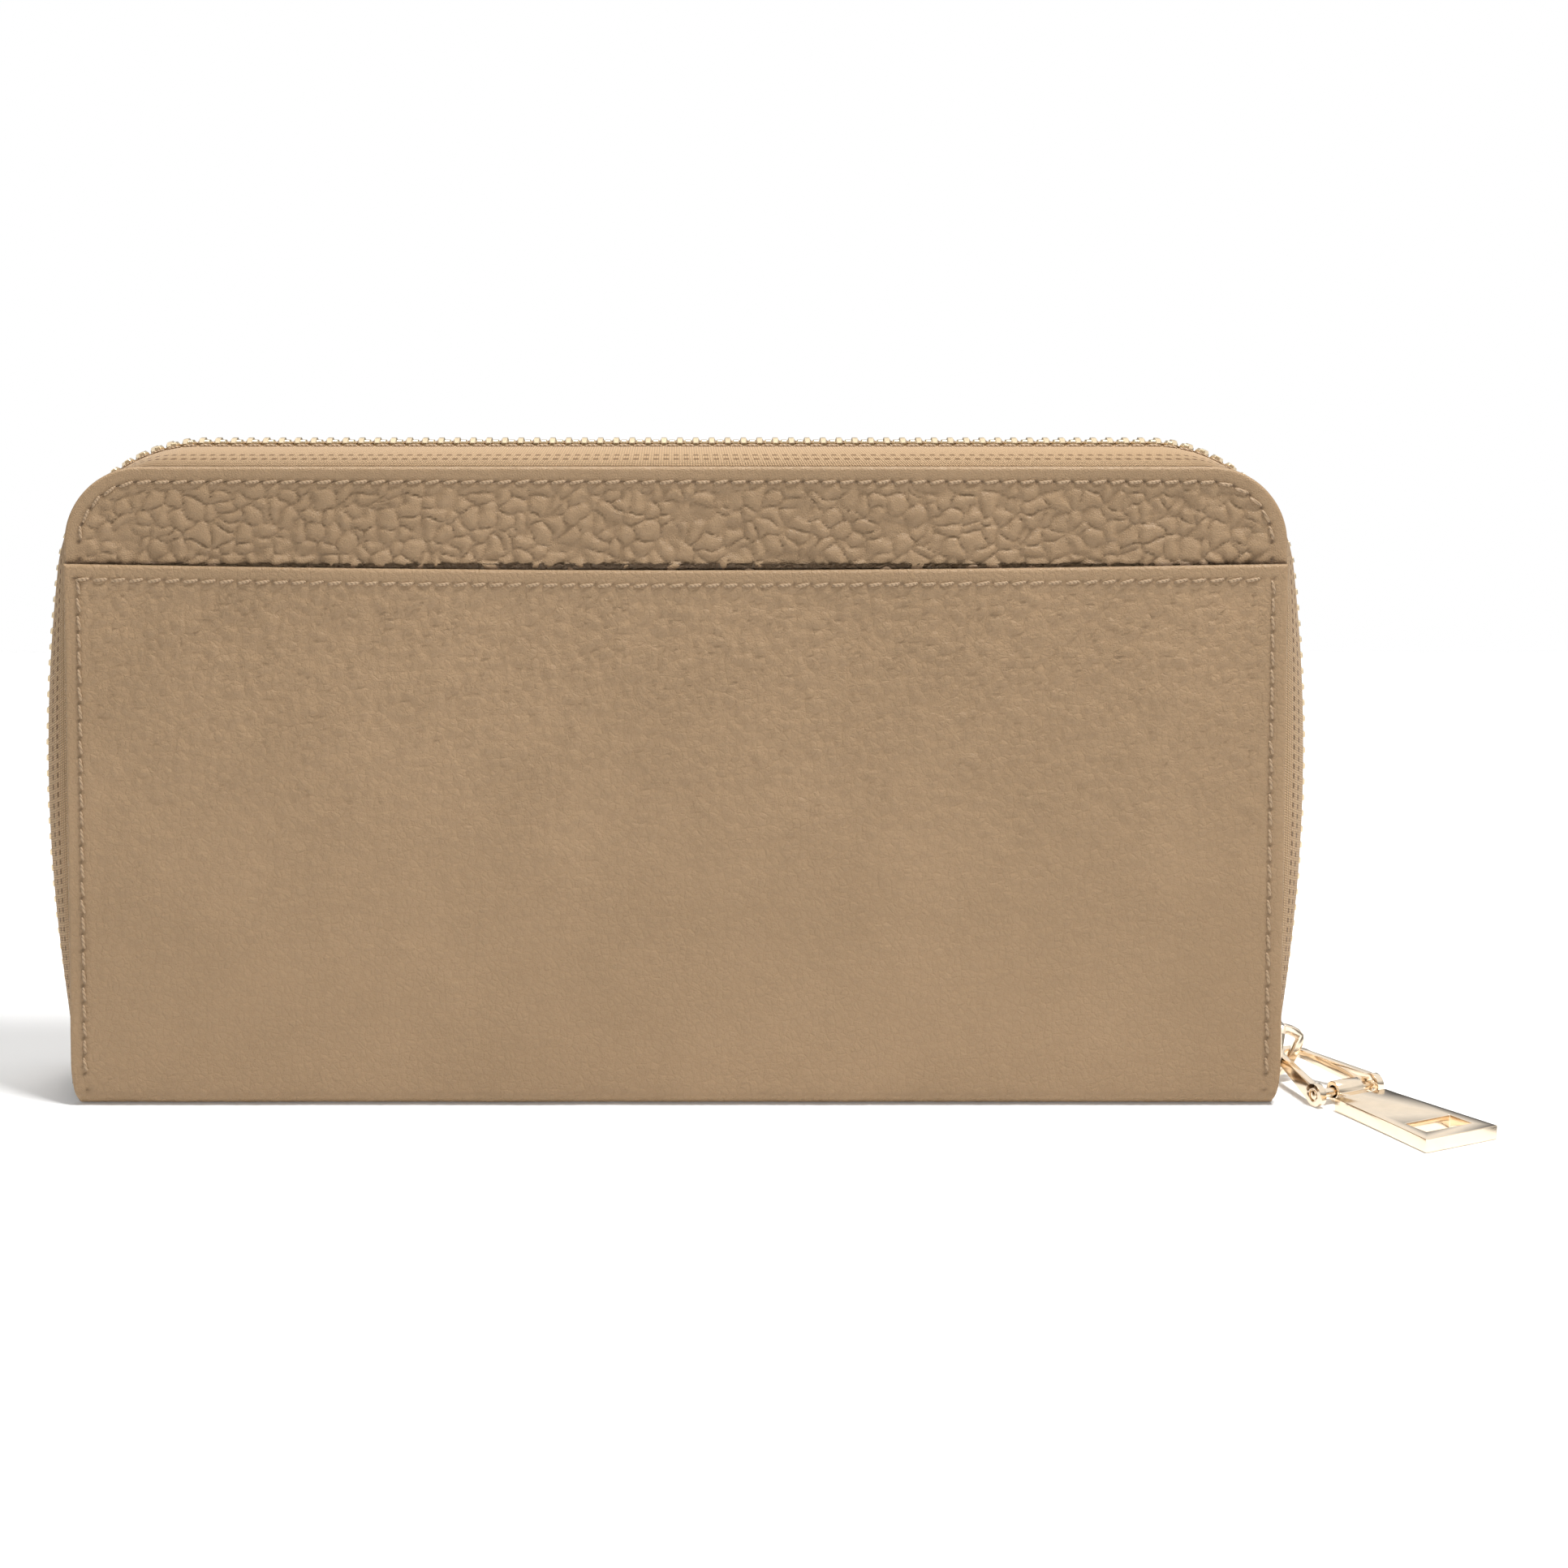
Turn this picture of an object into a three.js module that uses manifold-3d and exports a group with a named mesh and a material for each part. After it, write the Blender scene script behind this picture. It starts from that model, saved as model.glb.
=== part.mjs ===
// Zip-around wallet, closed and standing on its spine fold.
// Millimetres, +Z up. The origin is the centre of the spine base, -Y is the back with the slip pocket,
// +X is the side where the zip slider parks.
import * as THREE from 'three';
import { mergeVertices } from 'three/addons/utils/BufferGeometryUtils.js';
import Module from 'manifold-3d';

// ---- driving dimensions -------------------------------------------------------------------------
const WIDTH = 190.5;            // leather panel, side to side
const HEIGHT = 101;             // leather panel, floor to top edge
const CORNER = 12;              // radius of the panel's top corners
const PANEL_FOOT = 3.3;         // panels start here, above the spine's round
const GAP = 0.3;                // clearance between neighbouring pieces

// distance of each layer's inner face from the middle plane, and its thickness
const LEATHER = { in: 11.3, t: 1.0 };
const SEAM = { in: 10.4, t: 0.6 };        // board, and the zip tape sewn round it
const LINING = { in: 9.5, t: 0.6 };
const POCKET = { in: 12.6, t: 0.8 };
const POCKET_TOP = 85;                    // mouth of the slip pocket
const BOARD_INSET = 9.6;                  // board's edge behind the panel's edge
const TAPE_INSET = 9.0;                   // how far the tape is sewn in
const LINING_INSET = 3.4;
const TAPE_TURN = 0.7;                    // where the tape meets the panel's edge

const CARD = { t: 0.4, pitch: 0.7, first: 8.8, foot: 4.2, half: 88 };
const CARD_TOPS = [88, 76, 64, 52];       // mouth height of each card slot, wall to middle

// zip: the chain runs on an arc at each side, a fillet, and a level top
const ARC = { r: 250, z: 52, reach: 99.3 };
const CHAIN_TOP = 103.2;
const CHAIN_FILLET = 22;
const TEETH = { in: 0.6, out: 3.0, t: 2.2 };
const TAPE = { in: 3.3, flat: 4.9, t: 0.6 };
const CHAIN_FOOT = 13;                    // lowest tooth at the left, and of the front row
const TAPE_FOOT = 5.6;

const SLIDER_Z = 5.8;
const SLIDER = { half: 4.5, wide: 4.3, hollow: 1.4, plate: 0.8, lip: 3.5, slot: 0.65 };

const PULL_AZIMUTH = -61;                 // degrees, the way the pull lies on the floor
const LINK = { length: 14.4, apex: 2.6, inner: 5.3, arm: 1.2, eye: 1.8, low: 1.9, high: 4.4 };
const PIN_R = 0.7;
const TAB = { length: 22.7, near: 10.3, far: 14.3, t: 2.1, neck: 5, start: 3.5, knuckle: 1.65 };
const WINDOW = { wide: 9, long: 4.7, margin: 2.8 };

const COIN = { half: 86, wall: 3.0, flare: 4.75, t: 0.6, foot: 5, top: 76.5, zip: 80 };
const COIN_ZIP = { reach: 68, in: 0.5, out: 1.9, t: 1.8, tape: 0.4 };
const COIN_SLIDER = { x: 60, half: 3.6, wide: 2.9, hollow: 1.15, plate: 0.6 };

const wasm = await Module();
wasm.setup();
const rad = THREE.MathUtils.degToRad;
const vec = (x, y, z) => new THREE.Vector3(x, y, z);

// ---- materials ----------------------------------------------------------------------------------
const finish = (color, roughness, metalness) => () =>
  new THREE.MeshStandardMaterial({ color, roughness, metalness });
const leather = finish(0xaa8e6e, 0.62, 0);
const liner = finish(0x8f7458, 0.85, 0);
const fabric = finish(0xa38a6a, 0.9, 0);
const board = finish(0xb9ab94, 0.95, 0);
const brass = finish(0xd9b66a, 0.28, 1);
const gold = finish(0xe6cfae, 0.16, 1);

// ---- helpers ------------------------------------------------------------------------------------
const model = new THREE.Group();
model.name = 'zip_around_wallet';

function add(name, geometry, material) {
  const mesh = new THREE.Mesh(geometry, material());
  mesh.name = name;
  model.add(mesh);
}

// signed volume, to turn faces outwards
function volume(p, index) {
  let sum = 0;
  for (let i = 0; i < index.length; i += 3) {
    sum += p[index[i]].dot(p[index[i + 1]].clone().cross(p[index[i + 2]]));
  }
  return sum / 6;
}

function solid(points, index) {
  const turned = volume(points, index) < 0
    ? index.map((_, i) => index[i - (i % 3) + [0, 2, 1][i % 3]]) : index;
  const geometry = new THREE.BufferGeometry();
  geometry.setAttribute('position', new THREE.Float32BufferAttribute(points.flatMap((p) => p.toArray()), 3));
  geometry.setIndex(turned);
  return geometry;
}

// A curved sheet of constant thickness t: mid(u, v) gives its middle surface at whole steps u and v.
function sheet(mid, nu, nv, t) {
  const points = [];
  const index = [];
  const at = (side, u, v) => side * (nu + 1) * (nv + 1) + u * (nv + 1) + v;
  for (const side of [0, 1]) {
    for (let u = 0; u <= nu; u += 1) {
      for (let v = 0; v <= nv; v += 1) {
        const du = mid(Math.min(u + 1, nu), v).sub(mid(Math.max(u - 1, 0), v));
        const dv = mid(u, Math.min(v + 1, nv)).sub(mid(u, Math.max(v - 1, 0)));
        const normal = du.cross(dv).normalize();
        points.push(mid(u, v).addScaledVector(normal, (side - 0.5) * t));
      }
    }
  }
  const quad = (a, b, c, d) => index.push(a, b, c, a, c, d);
  for (let u = 0; u < nu; u += 1) {
    for (let v = 0; v < nv; v += 1) {
      quad(at(1, u, v), at(1, u + 1, v), at(1, u + 1, v + 1), at(1, u, v + 1));
      quad(at(0, u, v), at(0, u, v + 1), at(0, u + 1, v + 1), at(0, u + 1, v));
    }
    quad(at(0, u, 0), at(0, u + 1, 0), at(1, u + 1, 0), at(1, u, 0));
    quad(at(0, u + 1, nv), at(0, u, nv), at(1, u, nv), at(1, u + 1, nv));
  }
  for (let v = 0; v < nv; v += 1) {
    quad(at(0, 0, v + 1), at(0, 0, v), at(1, 0, v), at(1, 0, v + 1));
    quad(at(0, nu, v), at(0, nu, v + 1), at(1, nu, v + 1), at(1, nu, v));
  }
  return solid(points, index);
}

// Extrude a 2D shape by depth, then place it with the frame (x axis, y axis, z axis, origin).
function extrude(shape, depth, xAxis, yAxis, zAxis, origin, curveSegments = 5) {
  const geometry = new THREE.ExtrudeGeometry(shape, { depth, bevelEnabled: false, curveSegments });
  const frame = new THREE.Matrix4().makeBasis(xAxis, yAxis, zAxis).setPosition(origin);
  return geometry.applyMatrix4(frame);
}

const toSolid = (geometry) => {
  const bare = geometry.clone();
  bare.deleteAttribute('normal');
  bare.deleteAttribute('uv');
  const merged = mergeVertices(bare, 1e-4);
  return new wasm.Manifold(new wasm.Mesh({
    numProp: 3,
    vertProperties: new Float32Array(merged.attributes.position.array),
    triVerts: new Uint32Array(merged.index.array),
  }));
};

const fromSolid = (body) => {
  const mesh = body.getMesh();
  const geometry = new THREE.BufferGeometry();
  geometry.setAttribute('position', new THREE.Float32BufferAttribute(mesh.vertProperties, 3));
  geometry.setIndex([...mesh.triVerts]);
  return geometry;
};

const polygon = (points) => new THREE.Shape(points.map(([x, y]) => new THREE.Vector2(x, y)));

// ---- flat layers --------------------------------------------------------------------------------
// Panel outline inset all round the zip's three sides, from a foot height up.
function outline(inset, foot, top = HEIGHT, half = WIDTH / 2) {
  const r = Math.max(CORNER - inset, 1.5);
  const x = half - inset;
  const z = top - inset;
  const shape = new THREE.Shape();
  shape.moveTo(-x, foot).lineTo(x, foot).lineTo(x, z - r);
  shape.absarc(x - r, z - r, r, 0, Math.PI / 2, false);
  shape.lineTo(-x + r, z);
  shape.absarc(-x + r, z - r, r, Math.PI / 2, Math.PI, false);
  shape.lineTo(-x, foot);
  return shape;
}

// A flat layer in the X-Z plane. side is -1 for the back half and 1 for the front half.
function layer(shape, inner, t, side) {
  const y = side > 0 ? inner + t : -inner;
  return extrude(shape, t, vec(1, 0, 0), vec(0, 0, 1), vec(0, -1, 0), vec(0, y, 0));
}

function rectangle(half, foot, top) {
  return polygon([[-half, foot], [half, foot], [half, top], [-half, top]]);
}

const slipPocket = () => layer(rectangle(WIDTH / 2, PANEL_FOOT, POCKET_TOP), POCKET.in, POCKET.t, -1);

// ---- spine --------------------------------------------------------------------------------------
const SPINE = { back: -13.4, front: 12.3, t: 1.2, round: 2.6, top: 3.0 };

function spineCover() {
  const { back, front, t, round, top } = SPINE;
  const inner = round - t;
  const shape = new THREE.Shape();
  shape.moveTo(back, top).lineTo(back, round);
  shape.absarc(back + round, round, round, Math.PI, 1.5 * Math.PI, false);
  shape.lineTo(front - round, 0);
  shape.absarc(front - round, round, round, 1.5 * Math.PI, 2 * Math.PI, false);
  shape.lineTo(front, top).lineTo(front - t, top).lineTo(front - t, round);
  shape.absarc(front - round, round, inner, 0, -Math.PI / 2, true);
  shape.lineTo(back + round, t);
  shape.absarc(back + round, round, inner, -Math.PI / 2, -Math.PI, true);
  shape.lineTo(back + t, top).lineTo(back, top);
  return extrude(shape, WIDTH, vec(0, 1, 0), vec(0, 0, 1), vec(1, 0, 0), vec(-WIDTH / 2, 0, 0));
}

const SPINE_LINING = { half: 91, y: 9, z: 1.6, t: 0.6 };

function spineLining() {
  const { half, y, z, t } = SPINE_LINING;
  const geometry = new THREE.BoxGeometry(2 * half, 2 * y, t);
  return geometry.translate(0, 0, z + t / 2);
}

// ---- zip path -----------------------------------------------------------------------------------
// Right half of the chain's middle line in the X-Z plane; the left half mirrors it.
const ARC_X = ARC.reach - ARC.r;
const FILLET_Z = CHAIN_TOP - CHAIN_FILLET;
const FILLET_X = ARC_X + Math.sqrt((ARC.r - CHAIN_FILLET) ** 2 - (FILLET_Z - ARC.z) ** 2);
const FILLET_START = Math.atan2(FILLET_Z - ARC.z, FILLET_X - ARC_X);

const arcPoint = (angle, r = ARC.r) => [ARC_X + r * Math.cos(angle), ARC.z + r * Math.sin(angle)];
const arcAngle = (z) => Math.asin((z - ARC.z) / ARC.r);

// Stations along the right half: f from 0 (foot of the side) to 1, 1 to 2 (corner), 2 to 3 (middle of the top).
function chainAt(f, foot) {
  if (f <= 1) return arcPoint(THREE.MathUtils.lerp(arcAngle(foot), FILLET_START, f));
  if (f <= 2) {
    const a = THREE.MathUtils.lerp(FILLET_START, Math.PI / 2, f - 1);
    return [FILLET_X + CHAIN_FILLET * Math.cos(a), FILLET_Z + CHAIN_FILLET * Math.sin(a)];
  }
  return [FILLET_X * (3 - f), CHAIN_TOP];
}

// The matching station on the panel's outline, inset.
function edgeAt(f, foot, inset) {
  const c = CORNER;
  const r = c - inset;
  const x = WIDTH / 2 - c;
  const z = HEIGHT - c;
  if (f <= 1) return [WIDTH / 2 - inset, THREE.MathUtils.lerp(foot, z, f)];
  if (f <= 2) {
    const a = (f - 1) * Math.PI / 2;
    return [x + r * Math.cos(a), z + r * Math.sin(a)];
  }
  return [x * (3 - f), HEIGHT - inset];
}

const SIDE_STEPS = 9;
const CORNER_STEPS = 6;
const TOP_STEPS = 4;
const HALF_STEPS = SIDE_STEPS + CORNER_STEPS + TOP_STEPS;

// Step number to station: 0 is the right foot, 2 * HALF_STEPS the left foot.
function station(step) {
  const s = step <= HALF_STEPS ? step : 2 * HALF_STEPS - step;
  const side = step <= HALF_STEPS ? 1 : -1;
  if (s <= SIDE_STEPS) return [side, s / SIDE_STEPS];
  if (s <= SIDE_STEPS + CORNER_STEPS) return [side, 1 + (s - SIDE_STEPS) / CORNER_STEPS];
  return [side, 2 + (s - SIDE_STEPS - CORNER_STEPS) / TOP_STEPS];
}

const footOf = (side, feet) => (side > 0 ? feet.right : feet.left);

function toothRow(y, feet) {
  const mid = (u, v) => {
    const [side, f] = station(u);
    const [x, z] = chainAt(f, footOf(side, feet));
    return vec(side * x, y * (v ? TEETH.out : TEETH.in), z);
  };
  return sheet(mid, 2 * HALF_STEPS, 1, TEETH.t);
}

// Tape: flat beside the teeth, then turning in to the seam between board and leather.
function zipTape(y, feet) {
  const seam = SEAM.in + SEAM.t / 2;
  const turn = 4;
  const mid = (u, v) => {
    const [side, f] = station(u);
    const foot = footOf(side, feet);
    const [cx, cz] = chainAt(f, foot);
    if (v === 0) return vec(side * cx, y * TAPE.in, cz);
    if (v <= turn) {
      const a = (v - 1) / (turn - 1) * Math.PI / 2;
      const [ex, ez] = edgeAt(f, foot, TAPE_TURN);
      const k = 1 - Math.cos(a);
      const reach = TAPE.flat + (seam - TAPE.flat) * Math.sin(a);
      return vec(side * (cx + (ex - cx) * k), y * reach, cz + (ez - cz) * k);
    }
    const [ix, iz] = edgeAt(f, foot, TAPE_INSET);
    return vec(side * ix, y * seam, iz);
  };
  return sheet(mid, 2 * HALF_STEPS, turn + 1, TAPE.t);
}

// A metal stop at the end of a row: a short stretch of the chain's arc.
function endStop(side, y0, y1, z0, z1) {
  const mid = (u, v) => {
    const [x, z] = arcPoint(arcAngle(z0 + (z1 - z0) * u));
    return vec(side * x, v ? y1 : y0, z);
  };
  return sheet(mid, 1, 1, TEETH.t);
}

// ---- main slider --------------------------------------------------------------------------------
// Local frame at the slider: t up along the chain, n outwards, origin on the chain.
const SLIDER_ANGLE = arcAngle(SLIDER_Z);
const SLIDER_N = vec(Math.cos(SLIDER_ANGLE), 0, Math.sin(SLIDER_ANGLE));
const SLIDER_T = vec(-Math.sin(SLIDER_ANGLE), 0, Math.cos(SLIDER_ANGLE));
const [SLIDER_X] = arcPoint(SLIDER_ANGLE);
const SLIDER_AT = vec(SLIDER_X, 0, SLIDER_Z);

const sliderBox = (t0, t1, n0, n1, y0, y1) => toSolid(extrude(
  polygon([[t0, n0], [t1, n0], [t1, n1], [t0, n1]]), y1 - y0, SLIDER_T, SLIDER_N,
  SLIDER_T.clone().cross(SLIDER_N), SLIDER_AT.clone().addScaledVector(SLIDER_T.clone().cross(SLIDER_N), y0)));

// Plate with drawn-in upper end, seen along n.
function sliderPlate(n) {
  const { half, wide, plate } = SLIDER;
  const shape = polygon([[-half, -wide], [-half + 3, -wide], [half - 1, -wide + 0.7], [half, -wide + 1.6],
    [half, wide - 1.6], [half - 1, wide - 0.7], [-half + 3, wide], [-half, wide]]);
  const across = SLIDER_N.clone().cross(SLIDER_T);
  return toSolid(extrude(shape, plate, SLIDER_T, across, SLIDER_T.clone().cross(across).normalize(),
    SLIDER_AT.clone().addScaledVector(SLIDER_N, SLIDER_T.clone().cross(across).dot(SLIDER_N) > 0 ? n : n + plate)));
}

function sliderBody() {
  const { half, wide, hollow, plate, lip, slot } = SLIDER;
  let body = sliderPlate(hollow).add(sliderPlate(-hollow - plate));
  body = body.add(sliderBox(-half + 0.1, -half + 3, -hollow - 0.2, hollow + 0.2, -0.3, 0.3));
  for (const y of [lip, -wide + 0.05]) {
    body = body.add(sliderBox(-half + 0.1, 1.5, slot, hollow + 0.2, y, y + wide - lip - 0.05));
    body = body.add(sliderBox(-half + 0.1, 1.5, -hollow - 0.2, -slot, y, y + wide - lip - 0.05));
  }
  return fromSolid(body);
}

// Bridge: the loop that the pull hangs on, an arch over the outer plate in the t-n plane.
const BRIDGE = { foot: 2.5, rise: 6.1, bar: 1.35, wide: 1.7 };

function sliderBridge() {
  const { foot, rise, bar, wide } = BRIDGE;
  const shape = new THREE.Shape();
  shape.moveTo(-4.2, foot).quadraticCurveTo(-4.2, foot + 1.6, -2.0, foot + 2.6);
  shape.quadraticCurveTo(1.0, rise, 2.4, rise).quadraticCurveTo(4.2, rise, 4.2, foot);
  shape.lineTo(4.2 - bar, foot).quadraticCurveTo(4.0 - bar, rise - bar, 2.2, rise - bar);
  shape.quadraticCurveTo(1.0, rise - bar, -1.6, foot + 1.4).quadraticCurveTo(-2.8, foot + 0.8, -2.8, foot);
  shape.lineTo(-4.2, foot);
  const across = SLIDER_T.clone().cross(SLIDER_N);
  return extrude(shape, wide, SLIDER_T, SLIDER_N, across,
    SLIDER_AT.clone().addScaledVector(across, -wide / 2), 4);
}

// ---- pull ---------------------------------------------------------------------------------------
const PULL_D = vec(Math.cos(rad(PULL_AZIMUTH)), Math.sin(rad(PULL_AZIMUTH)), 0);
const PULL_U = vec(-PULL_D.y, PULL_D.x, 0);
const UP = vec(0, 0, 1);
const LINK_APEX = vec(98.95, 1.9, LINK.high);       // middle of the bow, behind the bridge's bar
const PIN_AT = LINK_APEX.clone().addScaledVector(PULL_D, LINK.length).setZ(LINK.low);
const LINK_W = PIN_AT.clone().sub(LINK_APEX).normalize();
const LINK_H = LINK_W.clone().cross(PULL_U).normalize();

const rod = (r, u0, u1, at, segments = 14) => {
  const geometry = new THREE.CylinderGeometry(r, r, u1 - u0, segments);
  geometry.translate(0, (u0 + u1) / 2, 0);
  const frame = new THREE.Matrix4().makeBasis(PULL_U.clone().cross(UP), PULL_U, UP);
  return geometry.applyMatrix4(frame).translate(at.x, at.y, at.z);
};

// Stirrup: a round bow that spreads into two flat arms with an eye at each end.
function pullLink() {
  const { length, apex, inner, arm, eye } = LINK;
  const mid = (u, v) => {
    const s = (u - 8) / 8;
    const side = Math.sign(s);
    const a = Math.min(Math.abs(s) * 2, 1) * Math.PI / 2;
    const k = Math.max(Math.abs(s) * 2 - 1, 0);
    const across = side * (apex * Math.sin(a) + (inner + arm / 2 - apex) * k);
    const along = apex * (1 - Math.cos(a)) + (length - apex - 0.5) * k;
    const high = 0.7 + 0.75 * k;
    return LINK_APEX.clone().addScaledVector(PULL_U, across).addScaledVector(LINK_W, along)
      .addScaledVector(LINK_H, v ? high : -high);
  };
  let body = toSolid(sheet(mid, 16, 1, arm));
  for (const u0 of [inner, -inner - arm]) body = body.add(toSolid(rod(eye, u0, u0 + arm, PIN_AT, 16)));
  body = body.subtract(toSolid(rod(PIN_R + GAP, -inner - 2 * arm, inner + 2 * arm, PIN_AT)));
  return fromSolid(body);
}

const pullPin = () => rod(PIN_R, -LINK.inner - LINK.arm, LINK.inner + LINK.arm, PIN_AT);

function pullTab() {
  const { length, near, far, t, neck, start, knuckle } = TAB;
  const flat = (shape, z0, z1) => extrude(shape, z1 - z0, PULL_D, PULL_U, PULL_D.clone().cross(PULL_U),
    vec(PIN_AT.x, PIN_AT.y, z0), 4);
  const shape = new THREE.Shape();
  const end = start + length;
  shape.moveTo(start, -near / 2).quadraticCurveTo(start + 5, -near / 2 - 0.2, end, -far / 2);
  shape.lineTo(end, far / 2).quadraticCurveTo(start + 5, near / 2 + 0.2, start, near / 2);
  shape.lineTo(start, -near / 2);
  const w1 = end - WINDOW.margin;
  const w0 = w1 - WINDOW.long;
  shape.holes.push(new THREE.Path([[w0, -1], [w0, 1], [w1, 1], [w1, -1]]
    .map(([d, s]) => new THREE.Vector2(d, s * WINDOW.wide / 2))));
  let body = toSolid(flat(shape, 0.1, 0.1 + t));
  const tongue = polygon([[0, -neck / 2], [start + 0.5, -neck / 2], [start + 0.5, neck / 2], [0, neck / 2]]);
  body = body.add(toSolid(flat(tongue, 0.35, 2.0)));
  body = body.add(toSolid(rod(knuckle, -neck / 2, neck / 2, PIN_AT, 16)));
  body = body.subtract(toSolid(rod(PIN_R + GAP, -neck, neck, PIN_AT)));
  return fromSolid(body);
}

// ---- side gussets -------------------------------------------------------------------------------
// Folded in a W across the wallet's depth: two valleys inwards, one crest at the coin pocket's edge.
const GUSSET = { foot: 6, top: 62, t: 0.5, rim: 90, valley: 80.5, folds: [-5.7, -4.3, 0, 4.3, 5.7] };

function gusset(side) {
  const mid = (u, v) => {
    const x = u % 2 ? GUSSET.valley : GUSSET.rim;
    return vec(side * x, GUSSET.folds[u], GUSSET.foot + (GUSSET.top - GUSSET.foot) * v / 2);
  };
  return sheet(mid, 4, 2, GUSSET.t);
}

// ---- coin pocket --------------------------------------------------------------------------------
// One bag folded at the bottom, open at the top, closing to a seam at both sides.
function coinPocketBag() {
  const { half, wall, flare, t, foot, top } = COIN;
  const profile = [[flare, top], [flare - 0.15, 71], [wall, 60], [wall, 8], [wall - 0.9, foot + 0.6]];
  const full = [...profile.map(([y, z]) => [-y, z]), [0, foot + 0.3],
    ...profile.map(([y, z]) => [y, z]).reverse()];
  const steps = 12;
  const mid = (u, v) => {
    const x = half * (2 * v / steps - 1);
    const k = 1 - 0.8 * THREE.MathUtils.smoothstep(Math.abs(x), half - 13, half);
    return vec(x, full[u][0] * k, full[u][1]);
  };
  return sheet(mid, full.length - 1, steps, t);
}

function coinTape(side) {
  const profile = [[2.2, 80], [3.3, 80], [3.95, 79.4], [4.0, 77], [3.75, 71]];
  const mid = (u, v) => vec((2 * v - 1) * (COIN_ZIP.reach + 3), side * profile[u][0], profile[u][1]);
  return sheet(mid, profile.length - 1, 1, COIN_ZIP.tape);
}

function coinBar(x0, x1, y0, y1) {
  const geometry = new THREE.BoxGeometry(x1 - x0, y1 - y0, COIN_ZIP.t);
  return geometry.translate((x0 + x1) / 2, (y0 + y1) / 2, COIN.zip);
}

const boxSolid = (x0, x1, y0, y1, z0, z1) => toSolid(new THREE.BoxGeometry(x1 - x0, y1 - y0, z1 - z0)
  .translate((x0 + x1) / 2, (y0 + y1) / 2, (z0 + z1) / 2));

function coinSliderBody() {
  const { x, half, wide, hollow, plate } = COIN_SLIDER;
  const z = COIN.zip;
  let body = boxSolid(x - half, x + half, -wide, wide, z + hollow, z + hollow + plate);
  body = body.add(boxSolid(x - half, x + half, -wide, wide, z - hollow - plate, z - hollow));
  body = body.add(boxSolid(x + half - 2.2, x + half - 0.1, -0.2, 0.2, z - hollow - 0.1, z + hollow + 0.1));
  return fromSolid(body);
}

function coinSliderBridge() {
  const { x } = COIN_SLIDER;
  const foot = COIN.zip + COIN_SLIDER.hollow + COIN_SLIDER.plate + GAP;
  const shape = new THREE.Shape();
  shape.moveTo(x - 3, foot).quadraticCurveTo(x - 3, foot + 3.0, x, foot + 3.0);
  shape.quadraticCurveTo(x + 3, foot + 3.0, x + 3, foot).lineTo(x + 2.1, foot);
  shape.quadraticCurveTo(x + 2.1, foot + 2.0, x, foot + 2.0);
  shape.quadraticCurveTo(x - 2.1, foot + 2.0, x - 2.1, foot).lineTo(x - 3, foot);
  return extrude(shape, 1.3, vec(1, 0, 0), vec(0, 0, 1), vec(0, -1, 0), vec(0, 0.65, 0), 4);
}

// A flat pull with a slot for the bridge, lying over the coin zip.
const COIN_PULL = { from: 61.4, to: 45, near: 2.6, far: 3.2, t: 0.8 };

function coinPull() {
  const { from, to, near, far, t } = COIN_PULL;
  const shape = new THREE.Shape();
  shape.moveTo(from, -near).lineTo(from, near).lineTo(to + 2, far);
  shape.quadraticCurveTo(to, far, to, 0).quadraticCurveTo(to, -far, to + 2, -far).lineTo(from, -near);
  shape.holes.push(new THREE.Path([[60.4, -1.1], [60.4, 1.1], [55.4, 1.1], [55.4, -1.1]]
    .map(([x, y]) => new THREE.Vector2(x, y))));
  const z = COIN.zip + COIN_SLIDER.hollow + COIN_SLIDER.plate + GAP;
  return extrude(shape, t, vec(1, 0, 0), vec(0, 1, 0), vec(0, 0, 1), vec(0, 0, z), 4);
}

// ---- assembly -----------------------------------------------------------------------------------
const HALVES = { back: -1, front: 1 };
const FEET = {
  back: { teeth: { right: 4.2, left: CHAIN_FOOT }, tape: { right: TAPE_FOOT, left: TAPE_FOOT } },
  front: { teeth: { right: 15.3, left: CHAIN_FOOT }, tape: { right: 12.6, left: TAPE_FOOT } },
};

for (const [name, side] of Object.entries(HALVES)) {
  add(`${name}_panel`, layer(outline(0, PANEL_FOOT), LEATHER.in, LEATHER.t, side), leather);
  add(`${name}_board`, layer(outline(BOARD_INSET, PANEL_FOOT), SEAM.in, SEAM.t, side), board);
  add(`${name}_lining`, layer(outline(LINING_INSET, PANEL_FOOT), LINING.in, LINING.t, side), liner);
  CARD_TOPS.forEach((top, i) => {
    const inner = CARD.first - i * CARD.pitch;
    add(`card_slot_${name}_${i + 1}`, layer(rectangle(CARD.half, CARD.foot, top), inner, CARD.t, side), leather);
  });
  add(`zip_tape_${name}`, zipTape(side, FEET[name].tape), fabric);
  add(`zip_teeth_${name}`, toothRow(side, FEET[name].teeth), brass);
}
add('back_slip_pocket', slipPocket(), leather);
add('spine_cover', spineCover(), leather);
add('spine_lining', spineLining(), liner);
add('zip_bottom_stop', endStop(-1, -2.8, 2.8, CHAIN_FOOT - 3.2, CHAIN_FOOT - 0.4), brass);
add('zip_top_stop_back', endStop(1, -TEETH.out, -TEETH.in, 1.6, 3.8), brass);
add('zip_top_stop_front', endStop(1, TEETH.in, TEETH.out, 12.7, 14.9), brass);

add('slider_body', sliderBody(), gold);
add('slider_bridge', sliderBridge(), gold);
add('pull_link', pullLink(), gold);
add('pull_pin', pullPin(), gold);
add('pull_tab', pullTab(), gold);

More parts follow.
